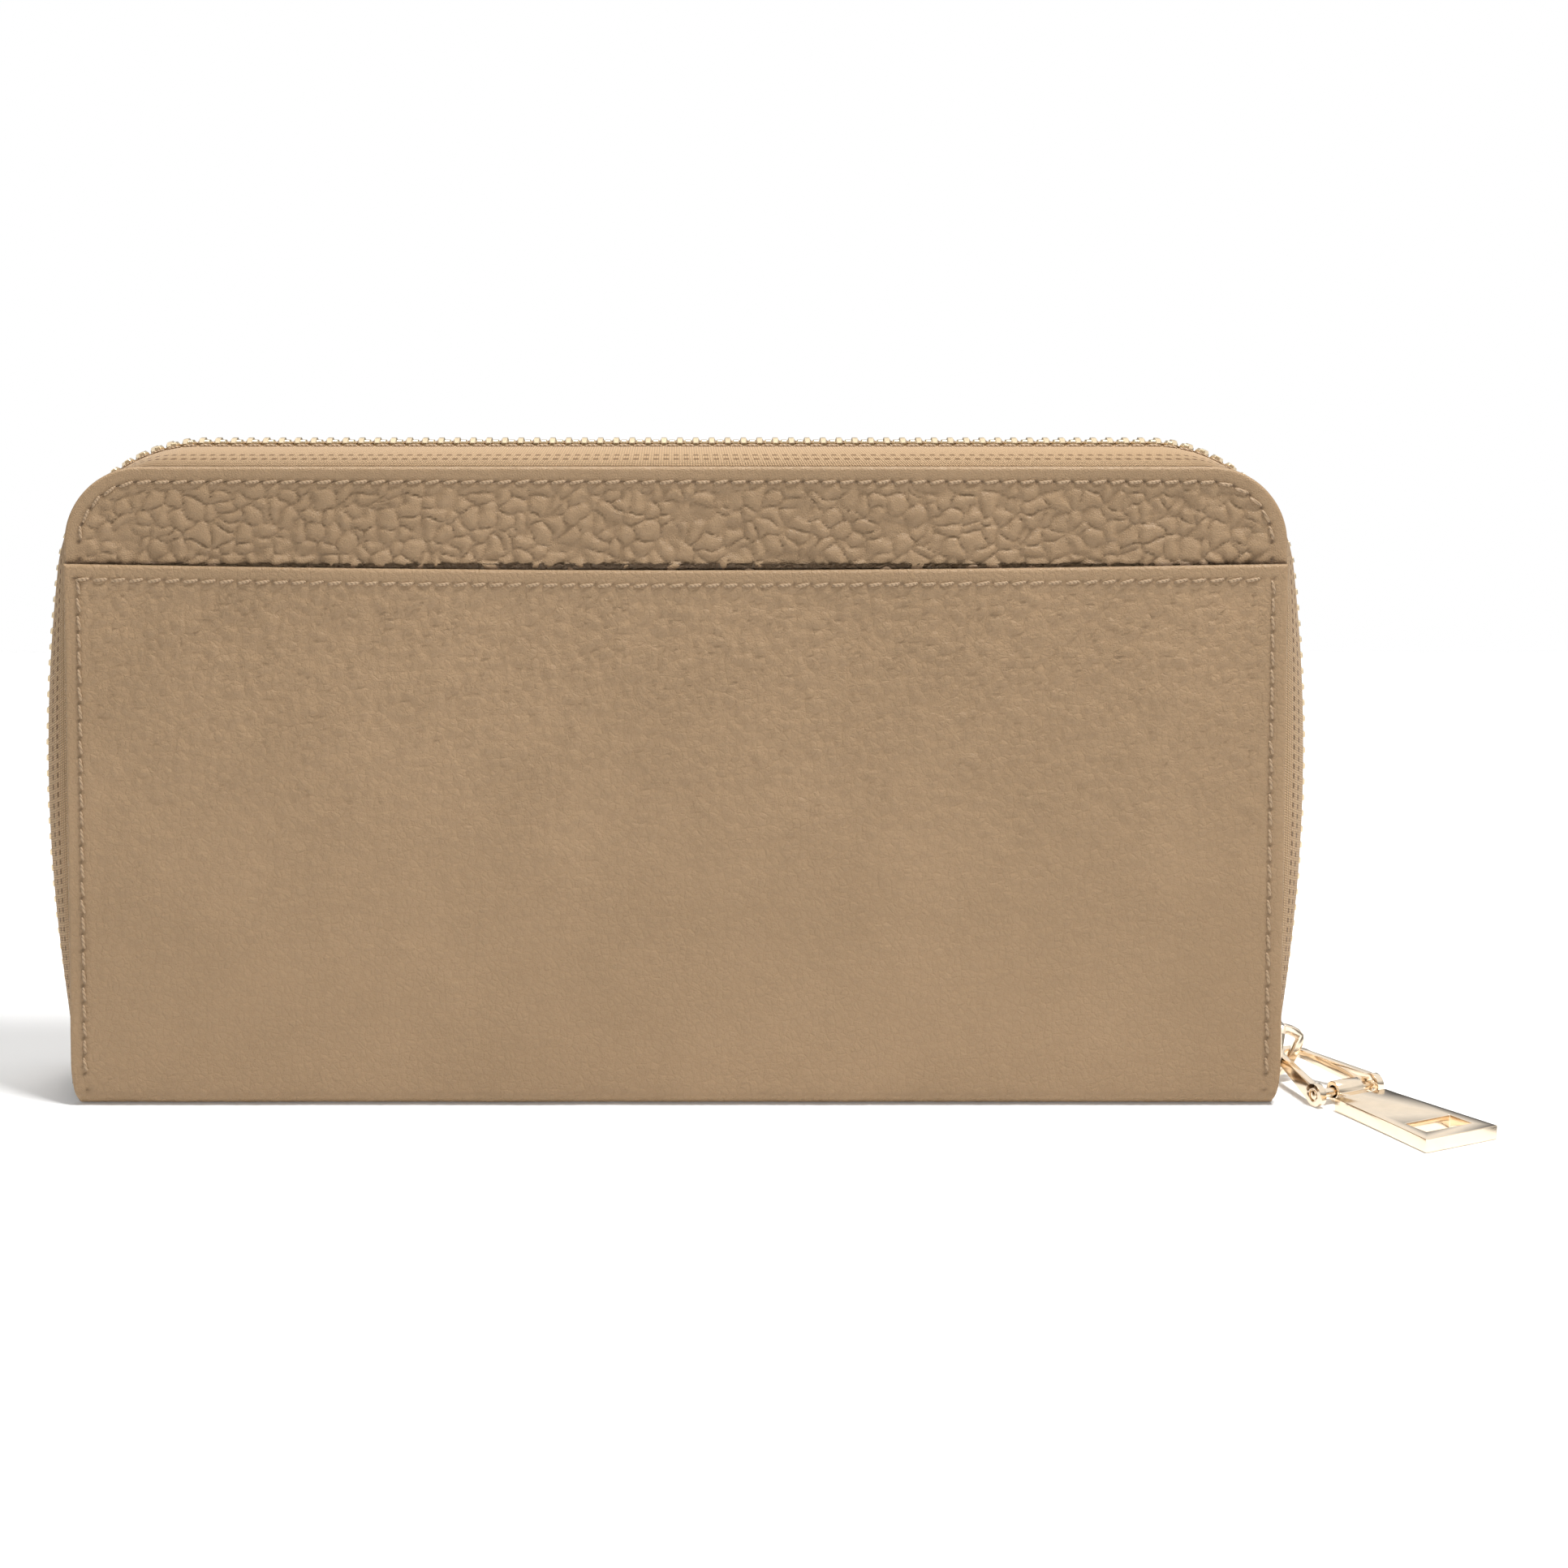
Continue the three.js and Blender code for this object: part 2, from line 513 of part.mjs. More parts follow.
add('gusset_left', gusset(-1), liner);
add('gusset_right', gusset(1), liner);
add('coin_pocket_bag', coinPocketBag(), liner);
for (const [name, side] of Object.entries(HALVES)) {
  const [y0, y1] = [side * COIN_ZIP.in, side * COIN_ZIP.out].sort((a, b) => a - b);
  add(`coin_tape_${name}`, coinTape(side), fabric);
  add(`coin_teeth_${name}`, coinBar(-COIN_ZIP.reach, COIN_ZIP.reach, y0, y1), brass);
}
add('coin_stop_left', coinBar(-COIN_ZIP.reach - 2.4, -COIN_ZIP.reach - GAP, -1.8, 1.8), brass);
add('coin_stop_right', coinBar(COIN_ZIP.reach + GAP, COIN_ZIP.reach + 2.4, -1.8, 1.8), brass);
add('coin_slider_body', coinSliderBody(), gold);
add('coin_slider_bridge', coinSliderBridge(), gold);
add('coin_pull', coinPull(), gold);

export default model;
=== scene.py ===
import bmesh
import bpy
import numpy as np
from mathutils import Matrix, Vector


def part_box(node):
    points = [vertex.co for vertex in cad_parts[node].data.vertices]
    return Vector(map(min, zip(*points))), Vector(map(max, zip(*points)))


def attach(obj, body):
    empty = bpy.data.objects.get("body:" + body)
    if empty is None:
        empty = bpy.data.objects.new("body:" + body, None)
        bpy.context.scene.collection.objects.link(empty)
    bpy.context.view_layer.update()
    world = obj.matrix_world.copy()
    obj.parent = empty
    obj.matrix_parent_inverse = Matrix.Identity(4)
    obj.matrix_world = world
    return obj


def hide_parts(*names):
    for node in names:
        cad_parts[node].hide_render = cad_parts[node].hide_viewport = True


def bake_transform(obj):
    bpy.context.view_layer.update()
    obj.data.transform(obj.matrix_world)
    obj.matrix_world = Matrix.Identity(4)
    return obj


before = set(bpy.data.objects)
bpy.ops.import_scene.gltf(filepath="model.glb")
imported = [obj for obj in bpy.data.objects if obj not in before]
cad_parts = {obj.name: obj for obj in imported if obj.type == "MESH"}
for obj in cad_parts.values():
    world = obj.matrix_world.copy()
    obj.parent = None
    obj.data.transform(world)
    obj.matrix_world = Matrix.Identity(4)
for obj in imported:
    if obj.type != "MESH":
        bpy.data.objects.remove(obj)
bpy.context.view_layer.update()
MM = 0.001

# %% [markdown]
# The camera looks at the slip pocket side from a little above, with a long lens, so that the panel keeps its
# upright sides. A pale floor and three soft lights are all that the picture needs.
# %% Camera, floor and lights
scene = bpy.context.scene
cam_data = bpy.data.cameras.new("camera")
cam_data.lens = 70.6
cam_data.sensor_width = 36.0
cam_data.shift_x = 0.069
cam_data.shift_y = -0.240
camera = bpy.data.objects.new("camera", cam_data)
camera.location = (0.0, -0.488, 0.146)
camera.rotation_euler = (np.radians(90 - 4.3), 0, 0)
scene.collection.objects.link(camera)
scene.camera = camera


def area_light(name, place, aim, size, power, tint=(1, 1, 1)):
    """A square soft light at place that faces aim."""
    data = bpy.data.lights.new(name, "AREA")
    data.size = size
    data.energy = power
    data.color = tint
    lamp = bpy.data.objects.new(name, data)
    lamp.location = place
    lamp.rotation_euler = (Vector(aim) - Vector(place)).to_track_quat("-Z", "Y").to_euler()
    scene.collection.objects.link(lamp)
    return lamp


area_light("key", (0.28, -0.22, 0.86), (0, 0, 0.05), 0.2, 9.0)
area_light("fill", (-0.8, -0.5, 0.35), (0, 0, 0.05), 0.6, 0.9)
area_light("top", (-0.05, 0.14, 0.9), (0, 0, 0.08), 0.4, 4.0)
world = bpy.data.worlds.new("room")
world.use_nodes = True
sky = world.node_tree.nodes["Background"]
sky.inputs["Color"].default_value = (1, 1, 1, 1)
rays = world.node_tree.nodes.new("ShaderNodeLightPath")
around = world.node_tree.nodes.new("ShaderNodeTexCoord")
split_sky = world.node_tree.nodes.new("ShaderNodeSeparateXYZ")
world.node_tree.links.new(around.outputs["Generated"], split_sky.inputs[0])
band = world.node_tree.nodes.new("ShaderNodeMapRange")
band.inputs["From Min"].default_value = 0.02
band.inputs["From Max"].default_value = 0.45
band.inputs["To Min"].default_value = 0.12
band.inputs["To Max"].default_value = 1.0
world.node_tree.links.new(split_sky.outputs["Z"], band.inputs["Value"])
lit = world.node_tree.nodes.new("ShaderNodeMix")
lit.inputs["A"].default_value = 0.26
world.node_tree.links.new(rays.outputs["Is Glossy Ray"], lit.inputs["Factor"])
world.node_tree.links.new(band.outputs["Result"], lit.inputs["B"])
level = world.node_tree.nodes.new("ShaderNodeMix")
level.inputs["B"].default_value = 1.0
world.node_tree.links.new(rays.outputs["Is Camera Ray"], level.inputs["Factor"])
world.node_tree.links.new(lit.outputs["Result"], level.inputs["A"])
world.node_tree.links.new(level.outputs["Result"], sky.inputs["Strength"])
scene.world = world

bpy.ops.mesh.primitive_plane_add(size=2.4, location=(0, -0.75, 0))
floor = bpy.context.object
floor.name = "floor"
paper = bpy.data.materials.new("paper")
paper.use_nodes = True
paper.node_tree.nodes["Principled BSDF"].inputs["Base Color"].default_value = (0.86, 0.86, 0.855, 1)
paper.node_tree.nodes["Principled BSDF"].inputs["Roughness"].default_value = 0.9
paper.node_tree.nodes["Principled BSDF"].inputs["Emission Color"].default_value = (1, 1, 1, 1)
paper.node_tree.nodes["Principled BSDF"].inputs["Emission Strength"].default_value = 0.12
floor.data.materials.append(paper)
scene.view_settings.view_transform = "Standard"


# %% [markdown]
# Materials are built from a few shared node groups. A group puts out only a mask or a height; the shader and
# its constants stay in each material, where an export can read them.
# %% Node helpers
def new_group(name, inputs, outputs):
    """An empty node group with float inputs (name: default) and outputs (name: socket type)."""
    group = bpy.data.node_groups.new(name, "ShaderNodeTree")
    for key, value in inputs.items():
        kind = "NodeSocketVector" if value is None else "NodeSocketFloat"
        made = group.interface.new_socket(name=key, in_out="INPUT", socket_type=kind)
        if value is not None:
            made.default_value = value
    for key, kind in outputs.items():
        group.interface.new_socket(name=key, in_out="OUTPUT", socket_type=kind)
    return group, group.nodes.new("NodeGroupInput"), group.nodes.new("NodeGroupOutput")


def math_node(tree, operation, a, b=None):
    """A Math node whose inputs are sockets or numbers; returns its output."""
    node = tree.nodes.new("ShaderNodeMath")
    node.operation = operation
    for slot, value in zip(node.inputs, (a, b)):
        if value is None:
            continue
        if isinstance(value, (int, float)):
            slot.default_value = value
        else:
            tree.links.new(value, slot)
    return node.outputs[0]


def texture(tree, kind, vector, scale, **settings):
    """A texture node on a vector socket at a scale; settings are its inputs by name."""
    node = tree.nodes.new(kind)
    tree.links.new(vector, node.inputs["Vector"])
    node.inputs["Scale"].default_value = scale
    for key, value in settings.items():
        node.inputs[key.replace("_", " ")].default_value = value
    return node


# %% Leather grain and tone group
def grain_group():
    """Height: pebble domes from a cell pattern plus fine pores. Tone: soft cloudy variation, 0 to 1."""
    group, gin, gout = new_group(
        "leather_grain",
        {"Vector": None, "Cells": 500.0, "Pores": 2600.0, "Pebble": 0.5},
        {"Height": "NodeSocketFloat", "Tone": "NodeSocketFloat", "Crease": "NodeSocketFloat"},
    )
    warp = texture(group, "ShaderNodeTexNoise", gin.outputs["Vector"], 300.0, Detail=2.0)
    bend = group.nodes.new("ShaderNodeVectorMath")
    bend.operation = "MULTIPLY_ADD"
    group.links.new(warp.outputs["Color"], bend.inputs[0])
    bend.inputs[1].default_value = (0.0012, 0.0012, 0.0012)
    group.links.new(gin.outputs["Vector"], bend.inputs[2])
    cells = group.nodes.new("ShaderNodeTexVoronoi")
    cells.feature = "DISTANCE_TO_EDGE"
    group.links.new(bend.outputs[0], cells.inputs["Vector"])
    group.links.new(gin.outputs["Cells"], cells.inputs["Scale"])
    pores = group.nodes.new("ShaderNodeTexVoronoi")
    pores.feature = "DISTANCE_TO_EDGE"
    group.links.new(bend.outputs[0], pores.inputs["Vector"])
    group.links.new(gin.outputs["Pores"], pores.inputs["Scale"])
    dome = math_node(group, "MINIMUM", math_node(group, "MULTIPLY", cells.outputs["Distance"], 4.0), 1.0)
    fine = math_node(group, "MINIMUM", math_node(group, "MULTIPLY", pores.outputs["Distance"], 3.0), 1.0)
    high = math_node(group, "ADD", math_node(group, "MULTIPLY", dome, gin.outputs["Pebble"]),
                     math_node(group, "MULTIPLY", fine, 0.35))
    tone = texture(group, "ShaderNodeTexNoise", gin.outputs["Vector"], 45.0, Detail=5.0)
    group.links.new(high, gout.inputs["Height"])
    group.links.new(tone.outputs["Fac"], gout.inputs["Tone"])
    group.links.new(dome, gout.inputs["Crease"])
    return group


GRAIN = grain_group()


# %% Weave group
def weave_group():
    """Height of a plain weave: |sin(t u) sin(t v)|, a bump where each pair of threads crosses."""
    group, gin, gout = new_group(
        "weave", {"Vector": None, "Threads": 1500.0}, {"Height": "NodeSocketFloat"})
    split = group.nodes.new("ShaderNodeSeparateXYZ")
    group.links.new(gin.outputs["Vector"], split.inputs[0])
    ribs = []
    for axis in (0, 1):
        angle = math_node(group, "MULTIPLY", split.outputs[axis], gin.outputs["Threads"])
        ribs.append(math_node(group, "SINE", angle))
    over = math_node(group, "MULTIPLY", *ribs)
    group.links.new(math_node(group, "ABSOLUTE", over), gout.inputs["Height"])
    return group


WEAVE = weave_group()


# %% Material builders
def base_material(name, color, roughness, metallic=0.0, slot_values=None):
    """A Principled material with a colour and constants set on the shader's own sockets."""
    material = bpy.data.materials.new(name)
    material.use_nodes = True
    shader = material.node_tree.nodes["Principled BSDF"]
    shader.inputs["Base Color"].default_value = (*color, 1)
    shader.inputs["Roughness"].default_value = roughness
    shader.inputs["Metallic"].default_value = metallic
    for key, value in (slot_values or {}).items():
        shader.inputs[key].default_value = value
    return material, material.node_tree, shader


def color_ramp(tree, fac, stops):
    """A colour ramp over fac; stops are (position, rgb)."""
    ramp = tree.nodes.new("ShaderNodeValToRGB")
    while len(ramp.color_ramp.elements) < len(stops):
        ramp.color_ramp.elements.new(0.5)
    for element, (position, rgb) in zip(ramp.color_ramp.elements, stops):
        element.position = position
        element.color = (*rgb, 1)
    tree.links.new(fac, ramp.inputs["Fac"])
    return ramp.outputs["Color"]


def mix_color(tree, kind, fac, a, b):
    """A Mix node on colours; fac, a and b are sockets, numbers or rgb."""
    node = tree.nodes.new("ShaderNodeMix")
    node.data_type = "RGBA"
    node.blend_type = kind
    for slot, value in ((node.inputs["Factor"], fac), (node.inputs[6], a), (node.inputs[7], b)):
        if isinstance(value, (int, float)):
            slot.default_value = value
        elif isinstance(value, tuple):
            slot.default_value = (*value, 1)
        else:
            tree.links.new(value, slot)
    return node.outputs[2]


def bump(tree, shader, height, strength, distance):
    """A Bump node from height to the shader's normal."""
    node = tree.nodes.new("ShaderNodeBump")
    node.inputs["Strength"].default_value = strength
    node.inputs["Distance"].default_value = distance
    tree.links.new(height, node.inputs["Height"])
    tree.links.new(node.outputs["Normal"], shader.inputs["Normal"])


# tint by the painted relief shade attribute: painted shade in stitch holes and shaded corners, plain leather,
# paler raised edges
RELIEF_SHADES = [(0.0, (0.34, 0.29, 0.25)), (0.30, (0.80, 0.78, 0.75)), (0.45, (0.97, 0.97, 0.97)),
                 (1.0, (1.10, 1.09, 1.08))]


def leather_material(name, cells, pebble, strength, dark, mid, light, relief_shade=True):
    """Leather: cloudy tone, painted shade darkening creases and pits (the piece's relief shade attribute),
    grain bump.
    """
    material, tree, shader = base_material(name, mid, 0.55, 0.0,
                                           {"Specular IOR Level": 0.42, "Coat Weight": 0.05,
                                            "Coat Roughness": 0.35})
    where = tree.nodes.new("ShaderNodeTexCoord").outputs["Object"]
    grain = tree.nodes.new("ShaderNodeGroup")
    grain.node_tree = GRAIN
    grain.inputs["Cells"].default_value = cells
    grain.inputs["Pebble"].default_value = pebble
    tree.links.new(where, grain.inputs["Vector"])
    tone = color_ramp(tree, grain.outputs["Tone"], [(0.35, dark), (0.52, mid), (0.68, light)])
    # painted shade: the colour is a little darker in the creases between the domes
    crease_shade = color_ramp(tree, grain.outputs["Crease"], [(0.0, (0.72, 0.70, 0.68)), (0.6, (1, 1, 1))])
    color = mix_color(tree, "MULTIPLY", 0.10, tone, crease_shade)
    if relief_shade:
        attribute = tree.nodes.new("ShaderNodeAttribute")
        attribute.attribute_name = "relief_shade"
        shade = color_ramp(tree, attribute.outputs["Fac"], RELIEF_SHADES)
        color = mix_color(tree, "MULTIPLY", 1.0, color, shade)
    tree.links.new(color, shader.inputs["Base Color"])
    rough = math_node(tree, "ADD", math_node(tree, "MULTIPLY", grain.outputs["Crease"], -0.14), 0.64)
    tree.links.new(rough, shader.inputs["Roughness"])
    bump(tree, shader, grain.outputs["Height"], strength, 0.0003)
    return material


LEATHER_DARK = (0.322, 0.211, 0.114)
LEATHER_MID = (0.338, 0.222, 0.121)
LEATHER_LIGHT = (0.354, 0.233, 0.128)
LEATHER_TONES = (LEATHER_DARK, LEATHER_MID, LEATHER_LIGHT)
leather_pebbled = leather_material("leather_pebbled", 420.0, 0.30, 0.55, *LEATHER_TONES)
leather_fine = leather_material("leather_fine", 900.0, 0.55, 0.50, *LEATHER_TONES)
leather_inside = leather_material("leather_inside", 900.0, 0.35, 0.35, (0.26, 0.17, 0.10), (0.33, 0.22, 0.13),
                                  (0.38, 0.26, 0.15), relief_shade=False)


def sewn_marks(tree, where):
    """Two rows of short marks along the tape: narrow bands across it, cut by a wave along it."""
    split = tree.nodes.new("ShaderNodeSeparateXYZ")
    tree.links.new(where, split.inputs[0])
    wave = math_node(tree, "SINE", math_node(tree, "MULTIPLY", split.outputs[0], 4200.0))
    cut = math_node(tree, "GREATER_THAN", wave, -0.1)
    rows = []
    for place in (0.0066, 0.0078):
        off = math_node(tree, "ABSOLUTE", math_node(tree, "SUBTRACT", split.outputs[1], place))
        rows.append(math_node(tree, "LESS_THAN", off, 0.00020))
    return math_node(tree, "MULTIPLY", math_node(tree, "MAXIMUM", *rows), cut)


def woven_material(name, color, threads, strength, sheen, flat=True):
    """Cloth or tape: a fine weave on the piece's UV, or on X and Y + Z where it has none."""
    material, tree, shader = base_material(name, color, 0.85, 0.0,
                                           {"Sheen Weight": sheen, "Specular IOR Level": 0.25})
    coord = tree.nodes.new("ShaderNodeTexCoord")
    where = coord.outputs["UV"]
    if not flat:
        split = tree.nodes.new("ShaderNodeSeparateXYZ")
        tree.links.new(coord.outputs["Object"], split.inputs[0])
        join = tree.nodes.new("ShaderNodeCombineXYZ")
        tree.links.new(split.outputs[0], join.inputs[0])
        tree.links.new(math_node(tree, "ADD", split.outputs[1], split.outputs[2]), join.inputs[1])
        where = join.outputs[0]
    weave = tree.nodes.new("ShaderNodeGroup")
    weave.node_tree = WEAVE
    weave.inputs["Threads"].default_value = threads
    tree.links.new(where, weave.inputs["Vector"])
    # painted shade: the weave's colour is darker where its height is low, between the threads
    shade = color_ramp(tree, weave.outputs["Height"], [(0.0, tuple(0.62 * c for c in color)), (0.7, color)])
    if flat:
        shade = mix_color(tree, "MULTIPLY", sewn_marks(tree, where), shade, (0.42, 0.36, 0.30))
    tree.links.new(shade, shader.inputs["Base Color"])
    bump(tree, shader, weave.outputs["Height"], strength, 0.00025)
    return material


tape_cloth = woven_material("tape_cloth", (0.60, 0.40, 0.225), 8200.0, 0.8, 0.15)
lining_cloth = woven_material("lining_cloth", (0.30, 0.21, 0.135), 9500.0, 0.4, 0.2, flat=False)


def thread_material():
    """Waxed thread: two-ply twist as diagonal bands in object space."""
    material, tree, shader = base_material("thread", (0.36, 0.245, 0.145), 0.6, 0.0, {"Sheen Weight": 0.1})
    where = tree.nodes.new("ShaderNodeTexCoord").outputs["Object"]
    wave = tree.nodes.new("ShaderNodeTexWave")
    wave.bands_direction = "DIAGONAL"
    wave.inputs["Scale"].default_value = 900.0
    tree.links.new(where, wave.inputs["Vector"])
    # painted shade: the twist's bands are darker where the bump is low, in the grooves between the plies
    shade = color_ramp(tree, wave.outputs["Fac"], [(0.0, (0.24, 0.16, 0.09)), (0.6, (0.42, 0.29, 0.175))])
    tree.links.new(shade, shader.inputs["Base Color"])
    bump(tree, shader, wave.outputs["Fac"], 0.5, 0.0001)
    return material


thread = thread_material()


def metal_material(name, color, roughness, scratch):
    """Polished plate: fine wear varies the roughness, and a faint ripple breaks the reflections."""
    material, tree, shader = base_material(name, color, roughness, 1.0, {"Specular IOR Level": 0.5})
    where = tree.nodes.new("ShaderNodeTexCoord").outputs["Object"]
    wear = texture(tree, "ShaderNodeTexNoise", where, 350.0, Detail=6.0, Roughness=0.7)
    rough = math_node(tree, "ADD", math_node(tree, "MULTIPLY", wear.outputs["Fac"], scratch), roughness)
    tree.links.new(rough, shader.inputs["Roughness"])
    dull = color_ramp(tree, wear.outputs["Fac"], [(0.3, tuple(0.93 * c for c in color)), (0.6, color)])
    tree.links.new(dull, shader.inputs["Base Color"])
    bump(tree, shader, wear.outputs["Fac"], 0.03, 0.0002)
    return material


gold_plate = metal_material("gold_plate", (0.93, 0.78, 0.60), 0.10, 0.08)
gilt_brass = metal_material("gilt_brass", (0.80, 0.64, 0.42), 0.24, 0.15)


def board_material():
    """Stiffener board: pressed fibres as stretched noise."""
    material, tree, shader = base_material("grey_board", (0.42, 0.36, 0.27), 0.95)
    where = tree.nodes.new("ShaderNodeTexCoord").outputs["Object"]
    fibre = texture(tree, "ShaderNodeTexNoise", where, 900.0, Detail=8.0)
    shade = color_ramp(tree, fibre.outputs["Fac"], [(0.3, (0.33, 0.28, 0.20)), (0.7, (0.50, 0.43, 0.33))])
    tree.links.new(shade, shader.inputs["Base Color"])
    bump(tree, shader, fibre.outputs["Fac"], 0.3, 0.0002)
    return material


grey_board = board_material()
print("materials:", len(bpy.data.materials))


# %% [markdown]
# Every soft piece is a sheet: a grid of points for its outer face and a second grid, one thickness behind it,
# joined round the rim. The grid is worked out with whole arrays, so a wallet panel can carry real grain.
# %% Mesh helpers
def grid_faces(nu, nv, start=0, flip=False):
    """Quads of an nu by nv grid of points, numbered from start."""
    i, j = np.meshgrid(np.arange(nu - 1), np.arange(nv - 1), indexing="ij")
    a = (start + i * nv + j).ravel()
    quads = np.stack([a, a + nv, a + nv + 1, a + 1], 1)
    return quads[:, ::-1] if flip else quads


def rim_faces(nu, nv, offset):
    """Quads that join the rims of two nu by nv grids, the second numbered from offset."""
    ring = np.concatenate([
        np.arange(nv),
        np.arange(1, nu) * nv + nv - 1,
        (nu - 1) * nv + np.arange(nv - 2, -1, -1),
        np.arange(nu - 2, 0, -1) * nv])
    after = np.roll(ring, -1)
    return np.stack([ring, after, after + offset, ring + offset], 1)


def make_mesh(name, points, faces, material, uv=None, relief_shade=None, smooth=True):
    """A mesh object from arrays; uv and relief are given per point."""
    mesh = bpy.data.meshes.new(name)
    mesh.from_pydata(points.reshape(-1, 3), [], faces.tolist() if isinstance(faces, np.ndarray) else faces)
    if uv is not None:
        layer = mesh.uv_layers.new(name="UVMap")
        loops = np.empty(len(mesh.loops), np.int32)
        mesh.loops.foreach_get("vertex_index", loops)
        layer.data.foreach_set("uv", uv.reshape(-1, 2)[loops].astype(np.float32).ravel())
    if relief_shade is not None:
        mesh.attributes.new("relief_shade", "FLOAT", "POINT").data.foreach_set(
            "value", relief_shade.astype(np.float32).ravel())
    mesh.polygons.foreach_set("use_smooth", np.full(len(mesh.polygons), smooth))
    mesh.update()
    piece = bpy.data.objects.new(name, mesh)
    scene.collection.objects.link(piece)
    piece.data.materials.append(material)
    return piece


def volume_of(points, faces):
    """Signed volume of quads, to see which way they point."""
    p = points.reshape(-1, 3)
    a, b, c, d = (p[faces[:, k]] for k in range(4))
    return float((a * (np.cross(b, c) + np.cross(c, d))).sum() / 6)


def repeated(name, points, faces, material, smooth=True):
    """One mesh of many copies: points has a row of points for each copy, and faces number one copy."""
    every = np.concatenate([faces + points.shape[1] * k for k in range(len(points))])
    if volume_of(points, every) < 0:
        every = every[:, ::-1]
    return make_mesh(name, points, every, material, smooth=smooth)


def thick_sheet(name, outer, inner, material, uv=None):
    """A closed sheet between two grids of points of the same size; uv serves both faces."""
    nu, nv = outer.shape[:2]
    count = nu * nv
    rim = rim_faces(nu, nv, count)[:, ::-1]
    faces = np.concatenate([grid_faces(nu, nv), grid_faces(nu, nv, count, True), rim])
    points = np.concatenate([outer.reshape(-1, 3), inner.reshape(-1, 3)])
    if volume_of(points, faces) < 0:
        faces = faces[:, ::-1]
    both = None if uv is None else np.concatenate([uv.reshape(-1, 2)] * 2)
    return make_mesh(name, points, faces, material, both)


def faced_sheet(name, outer, inner, material, uv, relief_shade):
    """A closed sheet with a fine outer grid and a plain back: the back has points round its rim only,
    joined side to side by long strips."""
    nu, nv = outer.shape[:2]
    count = nu * nv
    ring = rim_faces(nu, nv, 0)[:, 0]
    first, last = ring[0] + count, nv - 1
    left = count + np.arange(nv)
    right = count + 2 * (nv - 1) + nu - 1 - np.arange(nv)
    bottom = count + last + np.arange(nu)
    top = np.concatenate([[first], count + 2 * (nv - 1) + (nu - 1) + np.arange(nu - 2, 0, -1), right[:1]])
    after = np.roll(np.arange(len(ring)), -1)
    rim = np.stack([np.roll(ring, -1), ring, count + np.arange(len(ring)), count + after], 1)
    strips = np.stack([left[1:-2], right[1:-2], right[2:-1], left[2:-1]], 1)
    faces = grid_faces(nu, nv).tolist() + rim.tolist() + strips.tolist()
    faces += [[*top, right[1], left[1]], [left[-2], right[-2], *bottom[::-1]]]
    i, j = nu // 2, nv // 2
    across = np.cross(outer[i + 1, j] - outer[i, j], outer[i, j + 1] - outer[i, j])
    if across @ (outer[i, j] - inner[i, j]) < 0:
        faces = [face[::-1] for face in faces]
    points = np.concatenate([outer.reshape(-1, 3), inner.reshape(-1, 3)[ring]])
    both = np.concatenate([uv.reshape(-1, 2), uv.reshape(-1, 2)[ring]])
    high = np.concatenate([relief_shade.ravel(), relief_shade.ravel()[ring]])
    return make_mesh(name, points, faces, material, both, high)


# %% [markdown]
# Pebbled leather is a field of low domes with creases between them. Seeds sit on a jittered square lattice;
# the gap between the nearest and the second nearest seed is zero in a crease and large on a dome.
# %% Pebble field
def pebbles(x, z, cell, seed):
    """Dome height 0 to 1 at points x, z: smooth(F2 - F1) of a jittered lattice with spacing cell."""
    rng = np.random.default_rng(seed)
    size = 97
    jitter = rng.random((size, size, 2))
    gx, gz = x / cell, z / cell
    ix, iz = np.floor(gx).astype(int), np.floor(gz).astype(int)
    near = np.full(x.shape, 9.0)
    second = np.full(x.shape, 9.0)
    for dx in (-1, 0, 1):
        for dz in (-1, 0, 1):
            jx, jz = ix + dx, iz + dz
            j = jitter[jx % size, jz % size]
            d = np.hypot(jx + j[..., 0] - gx, jz + j[..., 1] - gz)
            second = np.minimum(second, np.maximum(near, d))
            near = np.minimum(near, d)
    t = np.clip((second - near) / 0.75, 0, 1)
    return 1 - (1 - t) ** 2


def waves(x, z, seed, wavelength, count=12):
    """Soft random undulation, -1 to 1: a mean of sines in random directions near one wavelength."""
    rng = np.random.default_rng(seed)
    total = np.zeros_like(x)
    for angle, phase, stretch in zip(rng.random(count) * np.pi, rng.random(count) * 6.28, rng.random(count)):
        k = 2 * np.pi / (wavelength * (0.7 + 0.8 * stretch))
        total += np.sin(k * (x * np.cos(angle) + z * np.sin(angle)) + phase)
    return total / np.sqrt(count)


# %% [markdown]
# The panel's outline is a rectangle with two round top corners. Its saddle stitch runs all round the three
# zip sides, a little inside the edge, and sinks into the leather at each hole.
# %% Outline and stitch line
low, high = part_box("back_panel")
HALF = high.x
TOP = high.z
CORNER = 12 * MM
PITCH = 2.8 * MM
STITCH_INSET = 2.35 * MM


def edge_distance(x, z):
    """Distance inwards from the rounded outline: a rounded box open at the bottom."""
    qx = np.abs(x) - (HALF - CORNER)
    qz = z - (TOP - CORNER)
    outside = np.hypot(np.maximum(qx, 0), np.maximum(qz, 0)) + np.minimum(np.maximum(qx, qz), 0)
    return CORNER - outside


def half_width(z):
    """Half width of the outline at height z."""
    rise = np.clip(z - (TOP - CORNER), 0, CORNER)
    return HALF - CORNER + np.sqrt(np.maximum(CORNER**2 - rise**2, 0))


